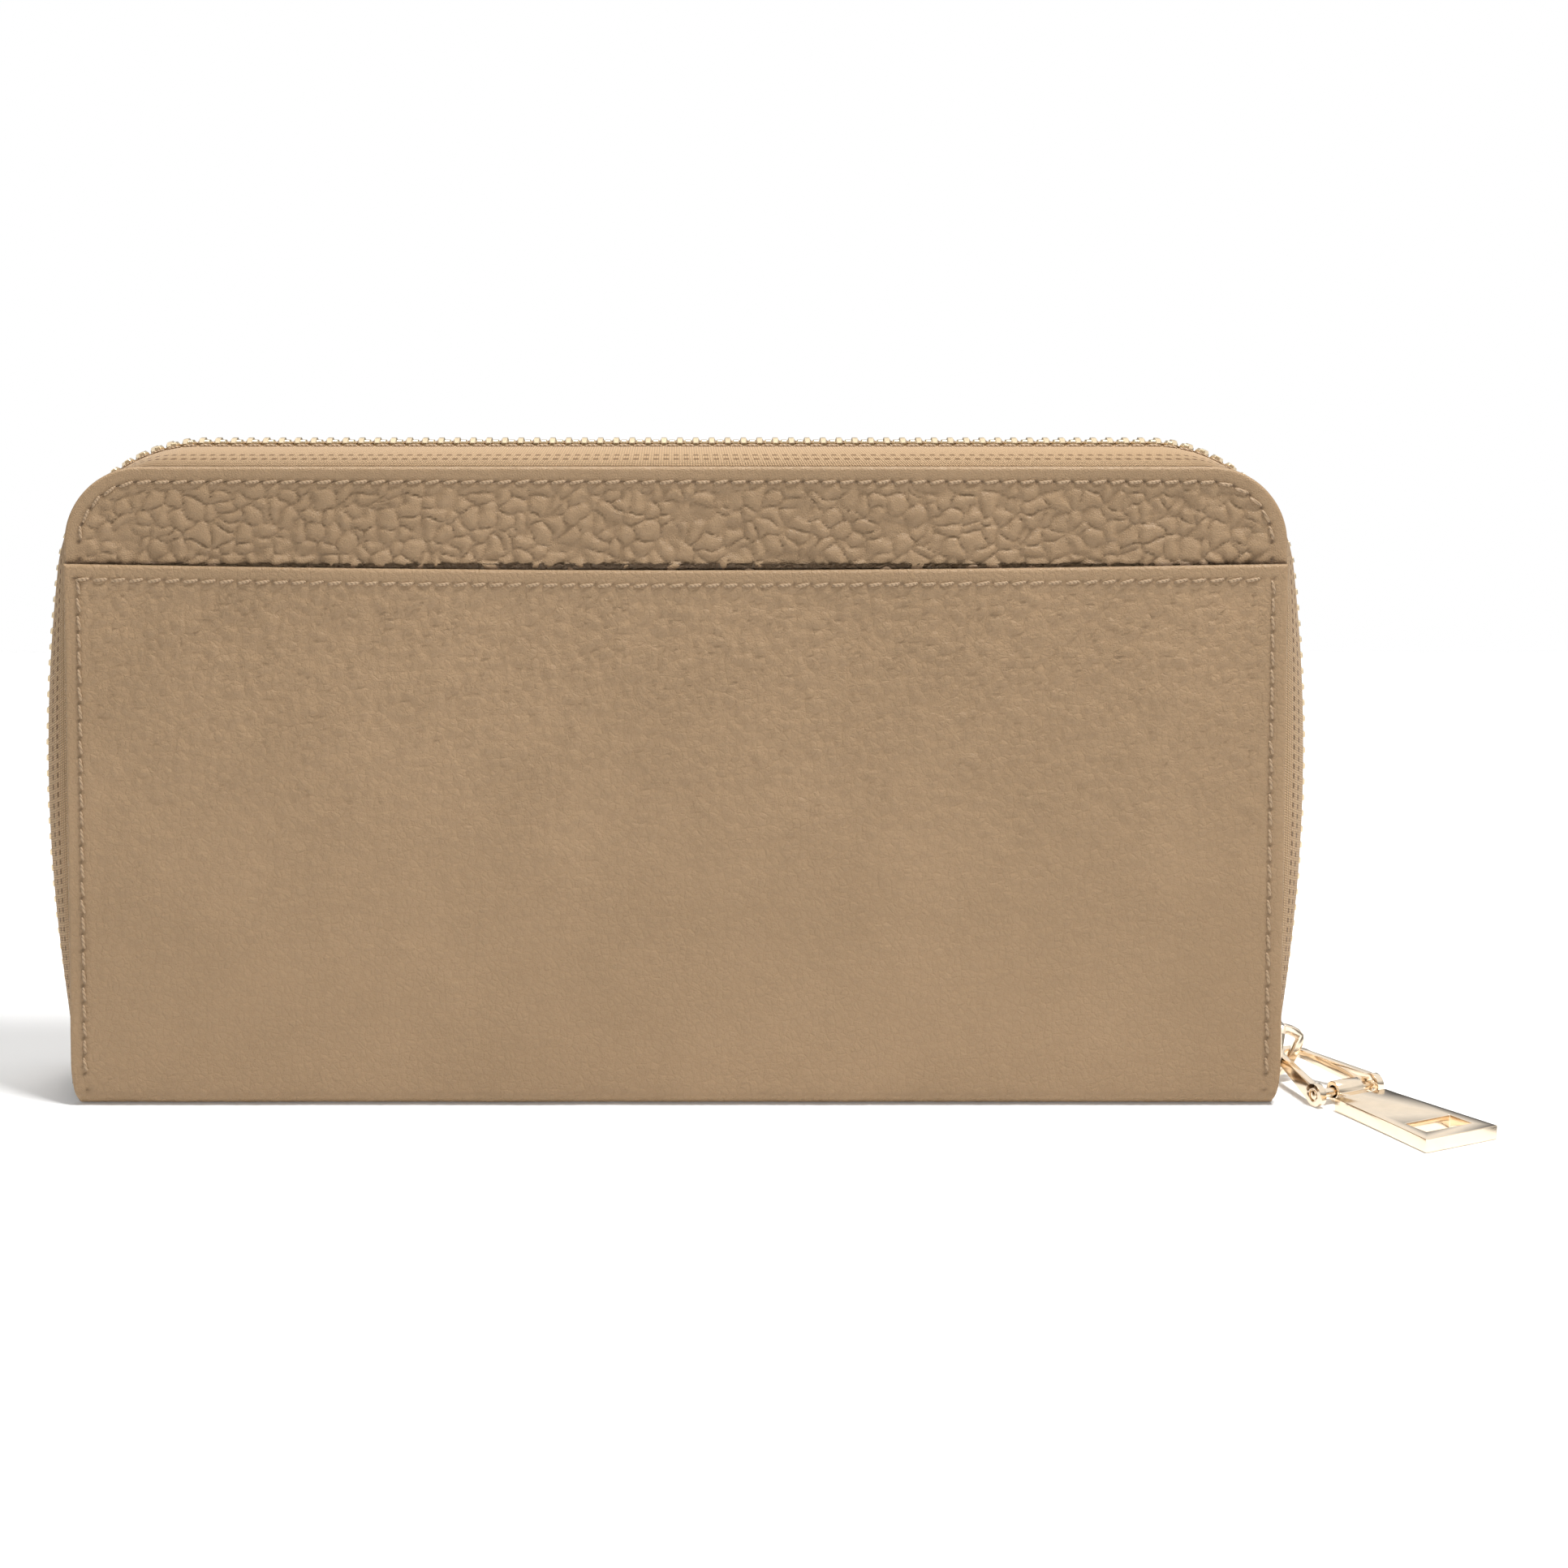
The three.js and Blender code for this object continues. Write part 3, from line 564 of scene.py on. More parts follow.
def outline_path(inset, foot, step):
    """Points round the three zip sides at an inset: up the left, over the top and down the right."""
    r = CORNER - inset
    side = np.arange(foot, TOP - CORNER, step / 4)
    turn = np.linspace(np.pi, np.pi / 2, 40)
    top = np.arange(-(HALF - CORNER), 0, step / 4)
    left = np.concatenate([
        np.stack([np.full_like(side, -(HALF - inset)), side], 1),
        np.stack([-(HALF - CORNER) + r * np.cos(turn), TOP - CORNER + r * np.sin(turn)], 1),
        np.stack([top, np.full_like(top, TOP - inset)], 1)])
    path = np.concatenate([left, left[::-1] * [-1, 1]])
    return resample(path, step)


def resample(path, step):
    """The same path with points a near-step apart, measured along it."""
    length = np.concatenate([[0], np.cumsum(np.linalg.norm(np.diff(path, axis=0), axis=1))])
    count = int(round(length[-1] / step))
    want = np.linspace(0, length[-1], count + 1)
    return np.stack([np.interp(want, length, path[:, k]) for k in range(path.shape[1])], 1)


perimeter_holes = outline_path(STITCH_INSET, 2.5 * MM, PITCH)
mouth_z = 85.9 * MM
MOUTH_DROP = 2.3 * MM
mouth_x = np.arange(-(HALF - 1.6 * MM), HALF - 1.5 * MM, PITCH)


def mouth_line(x):
    """Height of the pocket's mouth: level at the ends with a slight sag in the middle."""
    return mouth_z - 1.0 * MM * np.cos(np.pi * x / (2 * HALF))


mouth_holes = np.stack([mouth_x, mouth_line(mouth_x) - MOUTH_DROP], 1)


def pits(x, z, holes, reach=2.0 * MM):
    """How deep the stitch holes pull the leather in, 0 to 1, with a shallow groove joining them."""
    flat_x, flat_z = x.ravel(), z.ravel()
    hit = np.zeros(flat_x.shape)
    for start in range(0, len(holes), 40):
        part = holes[start:start + 40]
        box = ((flat_x > part[:, 0].min() - reach) & (flat_x < part[:, 0].max() + reach)
               & (flat_z > part[:, 1].min() - reach) & (flat_z < part[:, 1].max() + reach))
        index = np.flatnonzero(box)
        d = np.hypot(flat_x[index, None] - part[:, 0], flat_z[index, None] - part[:, 1])
        pit = np.exp(-(d.min(1) / (0.38 * MM)) ** 2)
        middle = (part[1:] + part[:-1]) / 2
        e = np.hypot(flat_x[index, None] - middle[:, 0], flat_z[index, None] - middle[:, 1])
        groove = 0.22 * np.exp(-(np.minimum(d.min(1), e.min(1)) / (0.7 * MM)) ** 2)
        hit[index] = np.maximum(hit[index], np.maximum(pit, groove))
    return hit.reshape(x.shape)


print("perimeter stitches:", len(perimeter_holes) - 1, "mouth stitches:", len(mouth_holes) - 1)


# %% [markdown]
# A panel's outer face is a fine grid. Near its rim the rows crowd together, so that the turned edge can roll
# over in a smooth quarter round, and the grain fades out on the roll, where the leather is skived thin.
# %% Panel builder
ROLL = 0.55 * MM
PALE_RIM_REACH = 0.5 * MM
EDGE_STEPS = np.array([0, 0.04, 0.12, 0.24, 0.40, 0.56, 0.8, 1.15, 1.6]) * MM


def crowd(a, b, step, at_a=True, at_b=True):
    """Positions from a to b about one step apart, with the rim's crowded rows at either end."""
    start = a + EDGE_STEPS if at_a else np.array([a])
    stop = (b - EDGE_STEPS)[::-1] if at_b else np.array([b])
    middle = np.linspace(start[-1], stop[0], max(int((stop[0] - start[-1]) / step), 2) + 1)[1:-1]
    return np.concatenate([start, middle, stop])


def roll_over(d):
    """How far the face falls back at a distance d from the rim: a quarter round of radius ROLL."""
    inside = np.clip(ROLL - d, 0, ROLL)
    return ROLL - np.sqrt(np.maximum(ROLL**2 - inside**2, 0))


def panel(name, z_rows, face_y, back_y, coarse, material, stitched, seed, foot_roll, shade, columns=0.5 * MM):
    """A leather panel: x spans the outline at each row, y is the face moved by roll, grain and stitch pits.
    coarse gives (cell size, dome height) of its grain."""
    u = crowd(-1.0 * HALF, HALF, columns) / HALF
    z = np.repeat(z_rows[None, :], len(u), 0)
    x = u[:, None] * half_width(np.minimum(z, TOP))
    d = np.minimum(edge_distance(x, z), foot_roll(x, z))
    d = np.maximum(d, 0)
    sign = np.sign(face_y)
    fade = settle(d)
    field = grain_height(x, z, coarse, seed)
    hollow = pits(x, z, stitched)
    lift = fade * (field - 0.65) * coarse["height"] - hollow * 0.30 * MM
    outer = np.stack([x, face_y - sign * roll_over(d) + sign * lift, z], -1)
    inner = np.stack([x, np.full_like(x, back_y), z], -1)
    # the colour is paler along the rim, fading over half a millimetre
    paler_rim = 0.25 * np.exp(-d / PALE_RIM_REACH)
    # the colour carries painted shade and light: lighter domes, darker creases and stitch pits, and the shade
    # argument's painted shade
    relief_shade = np.clip(0.45 + 0.16 * fade * (field - 0.6) + paler_rim - 0.5 * hollow - shade(x, z), 0, 1)
    uv = np.stack([x, z], -1)
    return faced_sheet(name, outer, inner, material, uv, relief_shade)


def settle(d):
    """Smooth step from the flat stitched margin, 2.6 mm wide, to full grain 1.5 mm further in."""
    t = np.clip((d - 2.6 * MM) / (1.5 * MM), 0, 1)
    return t * t * (3 - 2 * t)


def grain_height(x, z, coarse, seed):
    """Grain field 0 to 1: domes at the panel's cell size, mixed with soft swells and finer cells."""
    swell = waves(x, z, seed, 9 * MM)
    warp_x = x + 0.5 * MM * waves(x, z, seed + 5, 4 * MM)
    warp_z = z + 0.5 * MM * waves(x, z, seed + 6, 4 * MM)
    big = pebbles(warp_x + 1, warp_z * 1.15 + 1, coarse["cell"], seed)
    small = pebbles(warp_x + 1, warp_z + 1, coarse["cell"] * 0.45, seed + 1)
    return np.clip(big * 0.80 + small * 0.14 + 0.10 * swell, 0, 1.2)



def far_away(x, z):
    """No rim here: every point is a metre from it."""
    return np.full_like(x, 1.0)


def no_shade(x, z):
    """No painted shade line."""
    return np.zeros_like(x)


def mouth_shade(x, z):
    """Painted shade in the corner just above the pocket's mouth, and an even painted shade below it, behind
    the pocket.
    """
    rise = z - mouth_line(x)
    return np.where(rise > 0, 0.55 * np.exp(-(rise / (0.55 * MM)) ** 2), 0.4)


PEBBLED = {"cell": 2.8 * MM, "height": 0.75 * MM}
FINE = {"cell": 2.2 * MM, "height": 0.55 * MM}

# %% Back panel: only its strip above the pocket shows, and it runs down inside
cad_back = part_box("back_panel")
strip_rows = np.concatenate([np.linspace(cad_back[0].z, mouth_z - 6 * MM, 14)[:-1],
                             crowd(mouth_z - 6 * MM, TOP, 0.34 * MM, False, True)])
back_leather = panel("back_leather", strip_rows, cad_back[0].y - 0.15 * MM, cad_back[1].y, PEBBLED,
                     leather_pebbled, perimeter_holes, 11, far_away, mouth_shade, 0.42 * MM)
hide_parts("back_panel")
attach(back_leather, "root")
print("back leather faces:", len(back_leather.data.polygons))

# %% Front panel: the far side, pebbled all over
cad_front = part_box("front_panel")
front_rows = crowd(cad_front[0].z - 1.4 * MM, TOP, 0.66 * MM)


def above_foot(x, z):
    """Distance above the front panel's lower edge."""
    return z - (cad_front[0].z - 1.4 * MM)


front_leather = panel("front_leather", front_rows, cad_front[1].y, cad_front[0].y, PEBBLED,
                      leather_pebbled, perimeter_holes, 23, above_foot, no_shade, 0.66 * MM)
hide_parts("front_panel")
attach(front_leather, "front_half")
print("front leather faces:", len(front_leather.data.polygons))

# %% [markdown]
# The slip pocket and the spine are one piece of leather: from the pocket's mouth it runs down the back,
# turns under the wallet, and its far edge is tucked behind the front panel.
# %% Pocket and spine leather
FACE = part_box("back_slip_pocket")[0].y
ROUND = 2.6 * MM
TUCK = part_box("spine_cover")[1].y - 1.05 * MM
POCKET_THICK = 0.85 * MM


def pocket_profile():
    """Path in the Y-Z plane: down the back face, round under, across, and up behind the front panel."""
    down = crowd(0, mouth_z - ROUND, 0.52 * MM, True, False)
    turn = np.linspace(np.pi, 1.5 * np.pi, 12)[1:]
    cross = np.linspace(FACE + ROUND, TUCK - ROUND, 34)[1:]
    rise = np.linspace(1.5 * np.pi, 2 * np.pi, 10)[1:]
    up = np.linspace(ROUND, 6.5 * MM, 6)[1:]
    y = np.concatenate([np.full_like(down, FACE), FACE + ROUND + ROUND * np.cos(turn), cross,
                        TUCK - ROUND + ROUND * np.cos(rise), np.full_like(up, TUCK)])
    z = np.concatenate([mouth_z - down, ROUND + ROUND * np.sin(turn), np.zeros_like(cross),
                        ROUND + ROUND * np.sin(rise), up])
    return y, z


def pocket_and_spine():
    """Sweep the profile along X; the grain moves each point along the profile's normal."""
    y, z = pocket_profile()
    tangent = np.stack([np.gradient(y), np.gradient(z)], 1)
    tangent /= np.linalg.norm(tangent, axis=1, keepdims=True)
    normal = np.stack([tangent[:, 1], -tangent[:, 0]], 1)
    travel = np.concatenate([[0], np.cumsum(np.hypot(np.diff(y), np.diff(z)))])
    u = crowd(-HALF, HALF, 0.54 * MM)
    x = np.repeat(u[:, None], len(y), 1)
    sag = (mouth_line(x) - mouth_z) * np.clip(1 - travel / (60 * MM), 0, 1)
    level = np.repeat((mouth_z - travel)[None, :], len(u), 0) + sag
    side = HALF - np.abs(x)
    d = np.minimum(side, travel[None, :] + 0 * x)
    fade = settle(d)
    calm = 0.35 + 0.65 * np.clip((level - 8 * MM) / (70 * MM), 0, 1) ** 1.3
    field = grain_height(x, level, FINE, 41)
    crease = np.exp(-((level - 24 * MM - 0.5 * (x + HALF)) / (0.5 * MM)) ** 2) * np.clip(
        1 - (x + HALF) / (7 * MM), 0, 1)
    hollow = np.maximum(pits(x, level, mouth_holes), pits(x, level, perimeter_holes))
    slope = 0.05 * MM * waves(x, level, 47, 22 * MM)
    lift = (fade * calm * (field - 0.65) * FINE["height"] - hollow * 0.28 * MM + slope - roll_over(d)
            - 0.25 * MM * crease)
    lift = np.where(level > 0.2 * MM, lift, lift * 0.3 - 0.02 * MM)
    # rounded lower corners: the sides draw in a little as the leather turns under
    pull = 1.1 * MM * np.clip(1 - level / (7 * MM), 0, 1) ** 2
    x_in = np.sign(x) * (np.abs(x) - pull * np.clip(np.abs(x) / HALF, 0, 1) ** 8)
    outer = np.stack([x_in, y + normal[:, 0] * lift, z + sag + normal[:, 1] * lift], -1)
    back = -POCKET_THICK + 0 * x
    inner = np.stack([x_in, y + normal[:, 0] * back, z + sag + normal[:, 1] * back], -1)
    # the colour is paler along the rim, fading over half a millimetre
    paler_rim = 0.30 * np.exp(-d / PALE_RIM_REACH)
    # painted shade darkens the stitch pits; the grain term makes domes darker and creases lighter
    relief_shade = np.clip(0.50 - 0.40 * fade * calm * (field - 0.75) + paler_rim - 0.5 * hollow, 0, 1)
    outer[..., 2] = np.maximum(outer[..., 2], 0)
    return faced_sheet("pocket_leather", outer, inner, leather_fine, np.stack([x, level], -1), relief_shade)


pocket_leather = pocket_and_spine()
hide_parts("back_slip_pocket", "spine_cover")
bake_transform(pocket_leather)
print("pocket leather faces:", len(pocket_leather.data.polygons))


# %% [markdown]
# A saddle stitch is a short fat loop of thread that slants a little and dives into a hole at each end. One
# stitch is a six-sided capsule with a few dozen faces; the row repeats it from hole to hole.
# %% Stitch rows
def capsule(length, radius, arch):
    """A six-sided capsule along X that arches up along Z: rings of radius r(s) on a parabola."""
    s = np.array([-1, -0.86, -0.45, 0.45, 0.86, 1.0])
    r = radius * np.array([0.25, 0.75, 1.0, 1.0, 0.75, 0.25])
    turn = np.arange(6) * np.pi / 3
    x = np.repeat((s * length / 2)[:, None], 6, 1)
    y = r[:, None] * np.cos(turn)
    z = r[:, None] * np.sin(turn) + (arch * (1 - s**2))[:, None]
    return np.stack([x, y, z], -1)


def capsule_faces():
    """Quads between the capsule's rings and two quads on each end."""
    i, j = np.meshgrid(np.arange(5), np.arange(6), indexing="ij")
    a, b = (i * 6 + j).ravel(), (i * 6 + (j + 1) % 6).ravel()
    quads = np.stack([a, b, b + 6, a + 6], 1)
    caps = np.array([[0, 3, 2, 1], [0, 5, 4, 3], [30, 31, 32, 33], [30, 33, 34, 35]])
    return np.concatenate([quads, caps])


STITCH_SLANT = 0.16
STITCH_SUNK = 0.07 * MM


def stitch_row(name, holes, face_y, body, seed=3):
    """One stitch between each pair of holes on a face at face_y, all in one mesh."""
    rng = np.random.default_rng(seed)
    start, stop = holes[:-1], holes[1:]
    middle = (start + stop) / 2
    way = (stop - start) / np.linalg.norm(stop - start, axis=1, keepdims=True)
    angle = STITCH_SLANT + rng.normal(0, 0.04, len(way))
    cos, sin = np.cos(angle)[:, None], np.sin(angle)[:, None]
    along = np.concatenate([way[:, :1] * cos - way[:, 1:] * sin, way[:, :1] * sin + way[:, 1:] * cos], 1)
    across = np.stack([-along[:, 1], along[:, 0]], 1)
    unit = capsule(PITCH * 0.80, 0.26 * MM, 0.14 * MM).reshape(-1, 3)
    out = np.sign(face_y)
    x = middle[:, None, 0] + unit[None, :, 0] * along[:, None, 0] + unit[None, :, 1] * across[:, None, 0]
    z = middle[:, None, 1] + unit[None, :, 0] * along[:, None, 1] + unit[None, :, 1] * across[:, None, 1]
    y = face_y + out * (unit[None, :, 2] - STITCH_SUNK) + 0 * x
    piece = repeated(name, np.stack([x, y, z], -1), capsule_faces(), thread)
    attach(piece, body)


on_pocket = perimeter_holes[:, 1] < mouth_z - 1.2 * MM
left_rows = perimeter_holes[on_pocket & (perimeter_holes[:, 0] < 0)]
right_rows = perimeter_holes[on_pocket & (perimeter_holes[:, 0] > 0)]
stitch_row("stitches_pocket_left", left_rows[left_rows[:, 1] > 3 * MM], FACE, "root")
stitch_row("stitches_pocket_right", right_rows[right_rows[:, 1] > 3 * MM], FACE, "root")
stitch_row("stitches_back_top", perimeter_holes[perimeter_holes[:, 1] > mouth_z + 0.8 * MM],
           cad_back[0].y - 0.15 * MM, "root")
stitch_row("stitches_mouth", mouth_holes, FACE, "root", seed=5)
stitch_row("stitches_front", perimeter_holes[perimeter_holes[:, 1] > 3.5 * MM], cad_front[1].y, "front_half")
foot_holes = np.stack([mouth_x, np.full_like(mouth_x, 4.2 * MM)], 1)
stitch_row("stitches_front_foot", foot_holes, cad_front[1].y + 0.05 * MM, "front_half", seed=9)
print("stitch rows placed")

# %% [markdown]
# The zip follows the wallet's three open sides. At each side the chain bulges outwards on a long arc,
# turns the corner on a fillet and runs level along the top. Each tape starts flat beside the teeth and
# curls inwards to the seam behind the panel's edge.
# %% The zip's path
ARC_R, ARC_Z, ARC_X = 250 * MM, 52 * MM, (99.3 - 250) * MM
FILLET, CHAIN_TOP = 22 * MM, 103.2 * MM
FILLET_Z = CHAIN_TOP - FILLET
FILLET_X = ARC_X + np.sqrt((ARC_R - FILLET) ** 2 - (FILLET_Z - ARC_Z) ** 2)
FILLET_START = np.arctan2(FILLET_Z - ARC_Z, FILLET_X - ARC_X)


def chain_point(f, foot):
    """Chain's middle line: f 0 to 1 up the arc, 1 to 2 round the fillet, 2 to 3 to the top's middle."""
    low_angle = np.arcsin((foot - ARC_Z) / ARC_R)
    side = low_angle + (FILLET_START - low_angle) * np.clip(f, 0, 1)
    turn = FILLET_START + (np.pi / 2 - FILLET_START) * np.clip(f - 1, 0, 1)
    x = np.where(f <= 1, ARC_X + ARC_R * np.cos(side), FILLET_X + FILLET * np.cos(turn))
    z = np.where(f <= 1, ARC_Z + ARC_R * np.sin(side), FILLET_Z + FILLET * np.sin(turn))
    return np.where(f > 2, FILLET_X * (3 - f), x), np.where(f > 2, CHAIN_TOP, z)


def edge_point(f, foot, inset):
    """The matching station on the panel's outline, inset."""
    r, x0, z0 = CORNER - inset, HALF - CORNER, TOP - CORNER
    a = np.clip(f - 1, 0, 1) * np.pi / 2
    x = np.where(f <= 1, HALF - inset, x0 + r * np.cos(a))
    z = np.where(f <= 1, foot + (z0 - foot) * np.clip(f, 0, 1), z0 + r * np.sin(a))
    return np.where(f > 2, x0 * (3 - f), x), np.where(f > 2, TOP - inset, z)


def stations(count):
    """Signed side and f along the whole zip from the right foot to the left foot, evenly by arc length."""
    f = np.linspace(0, 3, 3001)
    x, z = chain_point(f, 5.6 * MM)
    s = np.concatenate([[0], np.cumsum(np.hypot(np.diff(x), np.diff(z)))])
    half = np.interp(np.linspace(0, s[-1], count), s, f)
    return (np.concatenate([np.ones(count), -np.ones(count - 1)]),
            np.concatenate([half, half[-2::-1]]))


FEET = {"back": {"teeth": (4.2 * MM, 13 * MM), "tape": (5.6 * MM, 5.6 * MM)},
        "front": {"teeth": (15.3 * MM, 13 * MM), "tape": (12.6 * MM, 5.6 * MM)}}
SIDE = {"back": -1, "front": 1}
BODY = {"back": "root", "front": "front_half"}


# %% Zip tapes
SEAM_Y = 10.7 * MM
TAPE_FLAT = 4.9 * MM
TAPE_HALF_THICK = 0.25 * MM


def zip_tape(half):
    """Tape sheet: flat beside the teeth, a quarter ellipse in to the seam, then flat inside it."""
    right, left = FEET[half]["tape"]
    side, f = stations(230)
    foot = np.where(side > 0, right, left)
    cx, cz = chain_point(f, foot)
    ex, ez = edge_point(f, foot, 0.7 * MM)
    ix, iz = edge_point(f, foot, 8.5 * MM)
    a = np.linspace(0, np.pi / 2, 18)
    flat_y = np.array([2.7, 3.3, 3.9, 4.4]) * MM
    k = np.concatenate([np.zeros(4), 1 - np.cos(a)])
    y = np.concatenate([flat_y, TAPE_FLAT + (SEAM_Y - TAPE_FLAT) * np.sin(a)])
    x_out = cx[:, None] + (ex - cx)[:, None] * k
    z_out = cz[:, None] + (ez - cz)[:, None] * k
    w = np.linspace(0, 1, 5)[1:]
    x = np.concatenate([x_out, ex[:, None] + (ix - ex)[:, None] * w], 1) * side[:, None]
    z = np.concatenate([z_out, ez[:, None] + (iz - ez)[:, None] * w], 1)
    y = np.concatenate([y, np.full(4, SEAM_Y)]) * SIDE[half] + 0 * x
    middle = np.stack([x, y, z], -1)
    along = np.gradient(middle, axis=0)
    across = np.gradient(middle, axis=1)
    normal = np.cross(along, across)
    normal /= np.linalg.norm(normal, axis=-1, keepdims=True)
    step_u = np.concatenate([[0], np.cumsum(np.linalg.norm(np.diff(middle[:, 0], axis=0), axis=1))])
    step_v = np.concatenate([[0], np.cumsum(np.linalg.norm(np.diff(middle[40], axis=0), axis=1))])
    uv = np.stack(np.broadcast_arrays(step_u[:, None], step_v[None, :]), -1)
    half_way = normal * TAPE_HALF_THICK
    piece = thick_sheet(f"tape_{half}", middle + half_way, middle - half_way, tape_cloth, uv)
    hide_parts(f"zip_tape_{half}")
    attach(piece, BODY[half])


for half in SIDE:
    zip_tape(half)
print("tapes made")

# %% [markdown]
# Each brass tooth clamps the tape's edge with two legs and reaches over the middle with a narrower head; the
# rows are offset by half a pitch, so the heads mesh. A chain stitch holds them along the tape.
# %% Teeth
TOOTH_PITCH = 2.54 * MM


def chain_frames(start, stop, pitch, shift):
    """Places every pitch along the chain, from a foot on the right to a foot on the left.
    Returns points and tangents in X-Z."""
    side, f = stations(1500)
    x, z = chain_point(f, 4.2 * MM)
    x = x * side
    s = np.concatenate([[0], np.cumsum(np.hypot(np.diff(x), np.diff(z)))])
    first = s[np.argmax(z >= start)]
    last = s[len(z) - 1 - np.argmax(z[::-1] >= stop)]
    grid = np.arange(np.ceil((first - shift) / pitch), np.floor((last - shift) / pitch) + 1) * pitch + shift
    px, pz = np.interp(grid, s, x), np.interp(grid, s, z)
    tx = np.interp(grid + 0.4 * MM, s, x) - np.interp(grid - 0.4 * MM, s, x)
    tz = np.interp(grid + 0.4 * MM, s, z) - np.interp(grid - 0.4 * MM, s, z)
    tangent = np.stack([tx, tz], 1)
    return np.stack([px, pz], 1), tangent / np.linalg.norm(tangent, axis=1, keepdims=True)


def tooth_block():
    """One tooth in (along the chain, across, outwards): five chamfered rectangular sections."""
    across = np.array([3.05, 2.9, 1.15, 0.35, -0.5]) * MM
    half_long = np.array([0.42, 0.52, 0.56, 0.55, 0.34]) * MM
    half_high = np.array([1.00, 1.12, 1.12, 0.85, 0.55]) * MM
    c = 0.72
    ring = np.array([[1, c], [c, 1], [-c, 1], [-1, c], [-1, -c], [-c, -1], [c, -1], [1, -c]])
    along = half_long[:, None] * ring[None, :, 0]
    out = half_high[:, None] * ring[None, :, 1]
    return np.stack([along, across[:, None] + 0 * along, out], -1).reshape(-1, 3)


def ring_faces(rings, sides):
    """Quads round a stack of rings with quad caps on an even-sided ring."""
    i, j = np.meshgrid(np.arange(rings - 1), np.arange(sides), indexing="ij")
    a, b = (i * sides + j).ravel(), (i * sides + (j + 1) % sides).ravel()
    body = np.stack([a, b, b + sides, a + sides], 1)
    fan = np.array([[0, 2 * k + 3, 2 * k + 2, 2 * k + 1] for k in range(sides // 2 - 1)])
    top = (rings - 1) * sides + fan[:, ::-1]
    return np.concatenate([body, fan, top])


def placed(block, faces, places, tangents, flip, name, material):
    """Repeat a block at each place: along the tangent, across in Y (times flip), outwards in X-Z."""
    normal = np.stack([tangents[:, 1], -tangents[:, 0]], 1)
    x = places[:, None, 0] + block[None, :, 0] * tangents[:, None, 0] + block[None, :, 2] * normal[:, None, 0]
    z = places[:, None, 1] + block[None, :, 0] * tangents[:, None, 1] + block[None, :, 2] * normal[:, None, 1]
    y = flip * block[None, :, 1] + 0 * x
    return repeated(name, np.stack([x, y, z], -1), faces, material, smooth=False)


for half in SIDE:
    right, left = FEET[half]["teeth"]
    shift = 0 if half == "back" else TOOTH_PITCH / 2
    places, tangents = chain_frames(right, left, TOOTH_PITCH, shift)
    teeth = placed(tooth_block(), ring_faces(5, 8), places, tangents, SIDE[half], f"teeth_{half}", gilt_brass)
    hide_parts(f"zip_teeth_{half}")
    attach(teeth, BODY[half])
    chain_stitch = capsule(2.2 * MM, 0.24 * MM, 0.1 * MM).reshape(-1, 3) + [0, 3.75 * MM, 0.32 * MM]
    row = placed(chain_stitch, capsule_faces(), places, tangents, SIDE[half], f"chain_stitch_{half}", thread)
    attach(row, BODY[half])
    print(half, "teeth:", len(places))


# %% [markdown]
# The hard parts keep the exact shape of their solids: a merged copy with softened edges and plated metal.
# %% Copies of the solids
def soft_copy(node, material, body, edge, segments=2):
    """A copy of a solid, merged by distance, with its edges rounded by a bevel."""
    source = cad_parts[node]
    mesh = source.data.copy()
    mesh.materials.clear()
    mesh.materials.append(material)
    build = bmesh.new()
    build.from_mesh(mesh)
    build.transform(source.matrix_world)
    bmesh.ops.remove_doubles(build, verts=build.verts, dist=1e-6)
    bmesh.ops.dissolve_limit(build, angle_limit=np.radians(1.0), verts=build.verts, edges=build.edges)
    build.to_mesh(mesh)
    build.free()
    mesh.polygons.foreach_set("use_smooth", np.ones(len(mesh.polygons), bool))
    piece = bpy.data.objects.new(node + "_finish", mesh)
    scene.collection.objects.link(piece)
    if edge:
        round_edge = piece.modifiers.new("round", "BEVEL")
        round_edge.width = edge
        round_edge.segments = segments
        round_edge.limit_method = "ANGLE"
        round_edge.angle_limit = np.radians(28)
        round_edge.harden_normals = True
    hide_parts(node)
    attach(piece, body)
    return piece


# solid, its body, and the width of its rounded edge in mm
GOLD_PARTS = [("slider_body", "slider", 0.16), ("slider_bridge", "slider", 0.25),
              ("pull_link", "pull_link", 0.16), ("pull_pin", "pull_link", 0.12),
              ("pull_tab", "pull_tab", 0.30),
              ("coin_slider_body", "coin_slider", 0.12), ("coin_slider_bridge", "coin_slider", 0.12),
              ("coin_pull", "coin_pull", 0.15)]
for node, body, edge in GOLD_PARTS:
    soft_copy(node, gold_plate, body, edge * MM)
BRASS_STOPS = [("zip_bottom_stop", "root"), ("zip_top_stop_back", "root"),
               ("zip_top_stop_front", "front_half"),
               ("coin_stop_left", "coin_pocket"), ("coin_stop_right", "coin_pocket")]
for node, body in BRASS_STOPS:
    soft_copy(node, gilt_brass, body, 0.2 * MM)
SOFT = [("back_board", "root", "board", grey_board), ("front_board", "front_half", "board", grey_board),
        ("back_lining", "root", "lining", lining_cloth),
        ("front_lining", "front_half", "lining", lining_cloth),
        ("spine_lining", "root", "lining", lining_cloth),
        ("coin_tape_back", "coin_pocket", "tape", lining_cloth),
        ("coin_tape_front", "coin_pocket", "tape", lining_cloth)]
for node, body, slot, material in SOFT:
    soft_copy(node, material, body, 0.14 * MM)
print("copies:", len(GOLD_PARTS) + len(BRASS_STOPS) + len(SOFT))


# %% [markdown]
# Four card slots step down each inner wall. Each is a thin leather sheet with a turned upper edge, a shallow
# thumb dip and a row of stitches below its mouth.
# %% Card slots
THUMB_DIP = 1.6 * MM
CARD_ROLL = 0.28 * MM


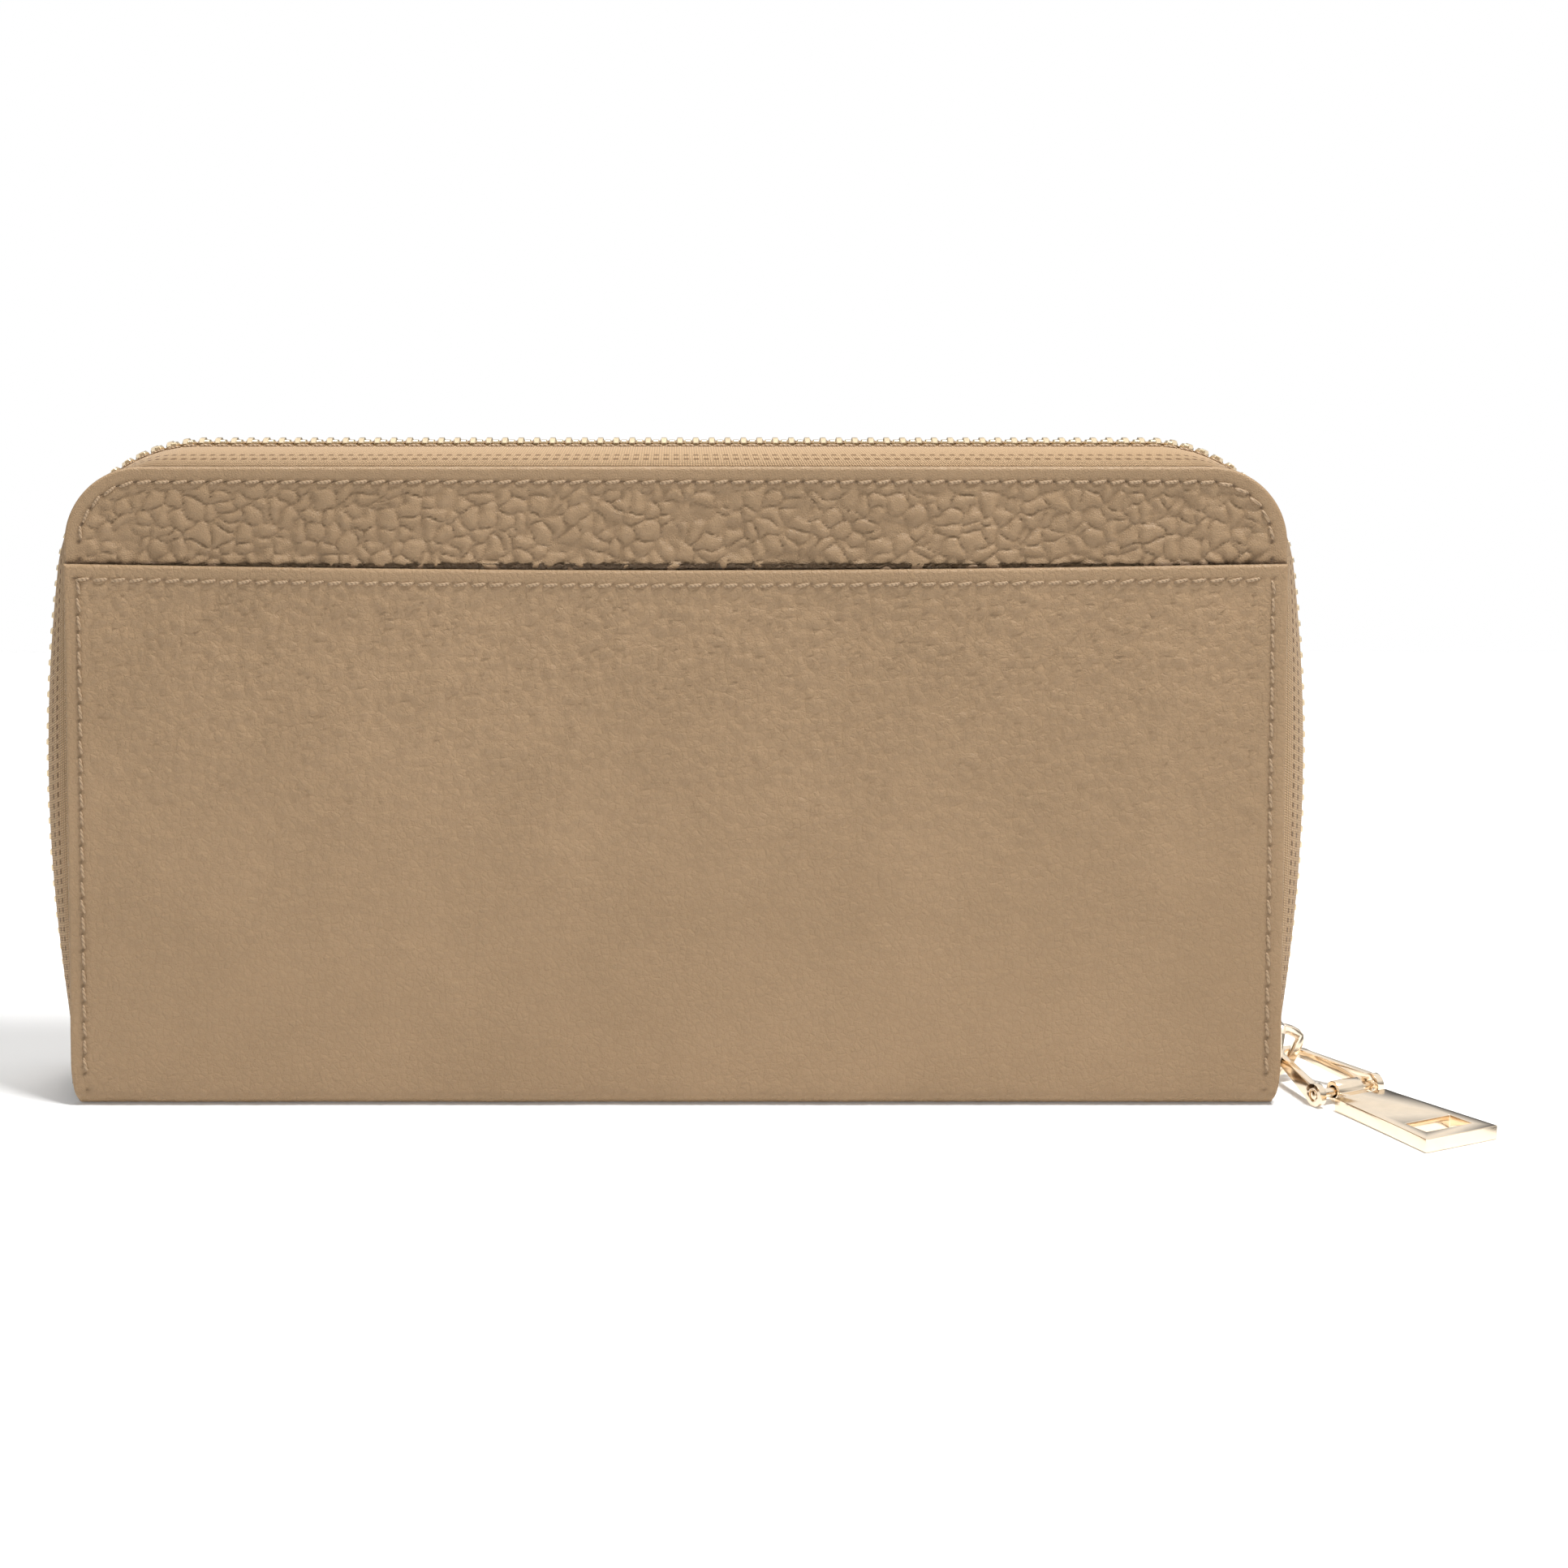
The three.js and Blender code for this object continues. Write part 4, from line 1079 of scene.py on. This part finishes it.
def thumb_dip(x, half_wide):
    """How far a slot's mouth dips at x: a bell in the middle of the left and of the right column."""
    return THUMB_DIP * np.exp(-((np.abs(x) / half_wide - 0.5) / 0.10) ** 2)


def card_slot(half, number):
    """A sheet with z scaled up to a mouth that dips in the middle of each of two columns."""
    node = f"card_slot_{half}_{number}"
    lo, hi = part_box(node)
    x = crowd(lo.x, hi.x, 2.0 * MM)
    v = np.concatenate([np.linspace(0, 0.9, 16), np.linspace(0.915, 1, 12)])
    dip = thumb_dip(x, hi.x)
    z = lo.z + v[None, :] * (hi.z - lo.z - dip[:, None])
    xx = np.repeat(x[:, None], len(v), 1)
    d = np.minimum(hi.x - np.abs(xx), (hi.z - dip[:, None]) - z)
    away = -SIDE[half]
    roll = CARD_ROLL - np.sqrt(np.maximum(CARD_ROLL**2 - np.clip(CARD_ROLL - d, 0, None) ** 2, 0))
    groove = 0.06 * MM * np.exp(-((d - 1.8 * MM) / (0.35 * MM)) ** 2)
    mouth = lo.y if away < 0 else hi.y
    face = mouth - away * (roll * 0.6 + groove)
    back = (hi.y if away < 0 else lo.y) + 0 * xx
    outer = np.stack([xx, face + 0 * xx, z], -1)
    inner = np.stack([xx, back, z], -1)
    piece = thick_sheet(node + "_sheet", outer, inner, leather_inside, np.stack([xx, z], -1))
    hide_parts(node)
    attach(piece, BODY[half])
    row_x = np.arange(lo.x + 3 * MM, hi.x - 2.9 * MM, 3.2 * MM)
    row = np.stack([row_x, hi.z - 1.8 * MM - thumb_dip(row_x, hi.x)], 1)
    unit = capsule(2.5 * MM, 0.10 * MM, 0.05 * MM).reshape(-1, 3)
    middle = (row[1:] + row[:-1]) / 2
    px = middle[:, None, 0] + unit[None, :, 0]
    pz = middle[:, None, 1] + unit[None, :, 1]
    py = mouth + away * (unit[None, :, 2] - 0.05 * MM) + 0 * px
    stitches = repeated(node + "_stitches", np.stack([px, py, pz], -1), capsule_faces(), thread)
    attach(stitches, BODY[half])


for half in SIDE:
    for number in (1, 2, 3, 4):
        card_slot(half, number)
print("card slots made")


# %% [markdown]
# A side gusset folds in a W between the halves.
# %% Gussets
def gusset(side, name):
    """A pleated sheet: |x| runs straight between rim and valley over five folds in y."""
    folds = np.array([-5.7, -4.3, 0, 4.3, 5.7]) * MM
    y = np.interp(np.arange(33) / 8, np.arange(5), folds)
    rims = np.array([90.0, 80.5, 90.0, 80.5, 90.0]) * MM
    x = np.interp(y, folds, rims)
    z = np.linspace(6, 62, 29) * MM
    x2 = np.repeat(x[:, None], len(z), 1)
    y2 = np.repeat(y[:, None], len(z), 1)
    z2 = np.repeat(z[None, :], len(y), 0)
    middle = np.stack([side * x2, y2, z2], -1)
    across = np.gradient(middle, axis=0)
    along = np.gradient(middle, axis=1)
    normal = np.cross(across, along)
    normal /= np.linalg.norm(normal, axis=-1, keepdims=True)
    half_way = normal * 0.16 * MM
    piece = thick_sheet(name + "_pleats", middle + half_way, middle - half_way, lining_cloth)
    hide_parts(name)
    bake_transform(piece)


gusset(-1, "gusset_left")
gusset(1, "gusset_right")


# %% Coin pocket and its zip
soft_copy("coin_pocket_bag", lining_cloth, "coin_pocket", 0.15 * MM)
coin_lo, coin_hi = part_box("coin_teeth_back")
for half in SIDE:
    shift = 0 if half == "back" else 0.85 * MM
    coin_x = np.arange(coin_lo.x + 1 * MM, coin_hi.x - 1 * MM, 1.7 * MM) + shift
    small = tooth_block() * [0.62, 0.60, 0.75]
    places = np.stack([coin_x, np.full_like(coin_x, 80 * MM)], 1)
    coin_teeth = placed(small, ring_faces(5, 8), places, np.tile([1.0, 0.0], (len(coin_x), 1)), SIDE[half],
                        f"coin_teeth_{half}_row", gilt_brass)
    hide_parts(f"coin_teeth_{half}")
    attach(coin_teeth, "coin_pocket")
print("coin pocket made")
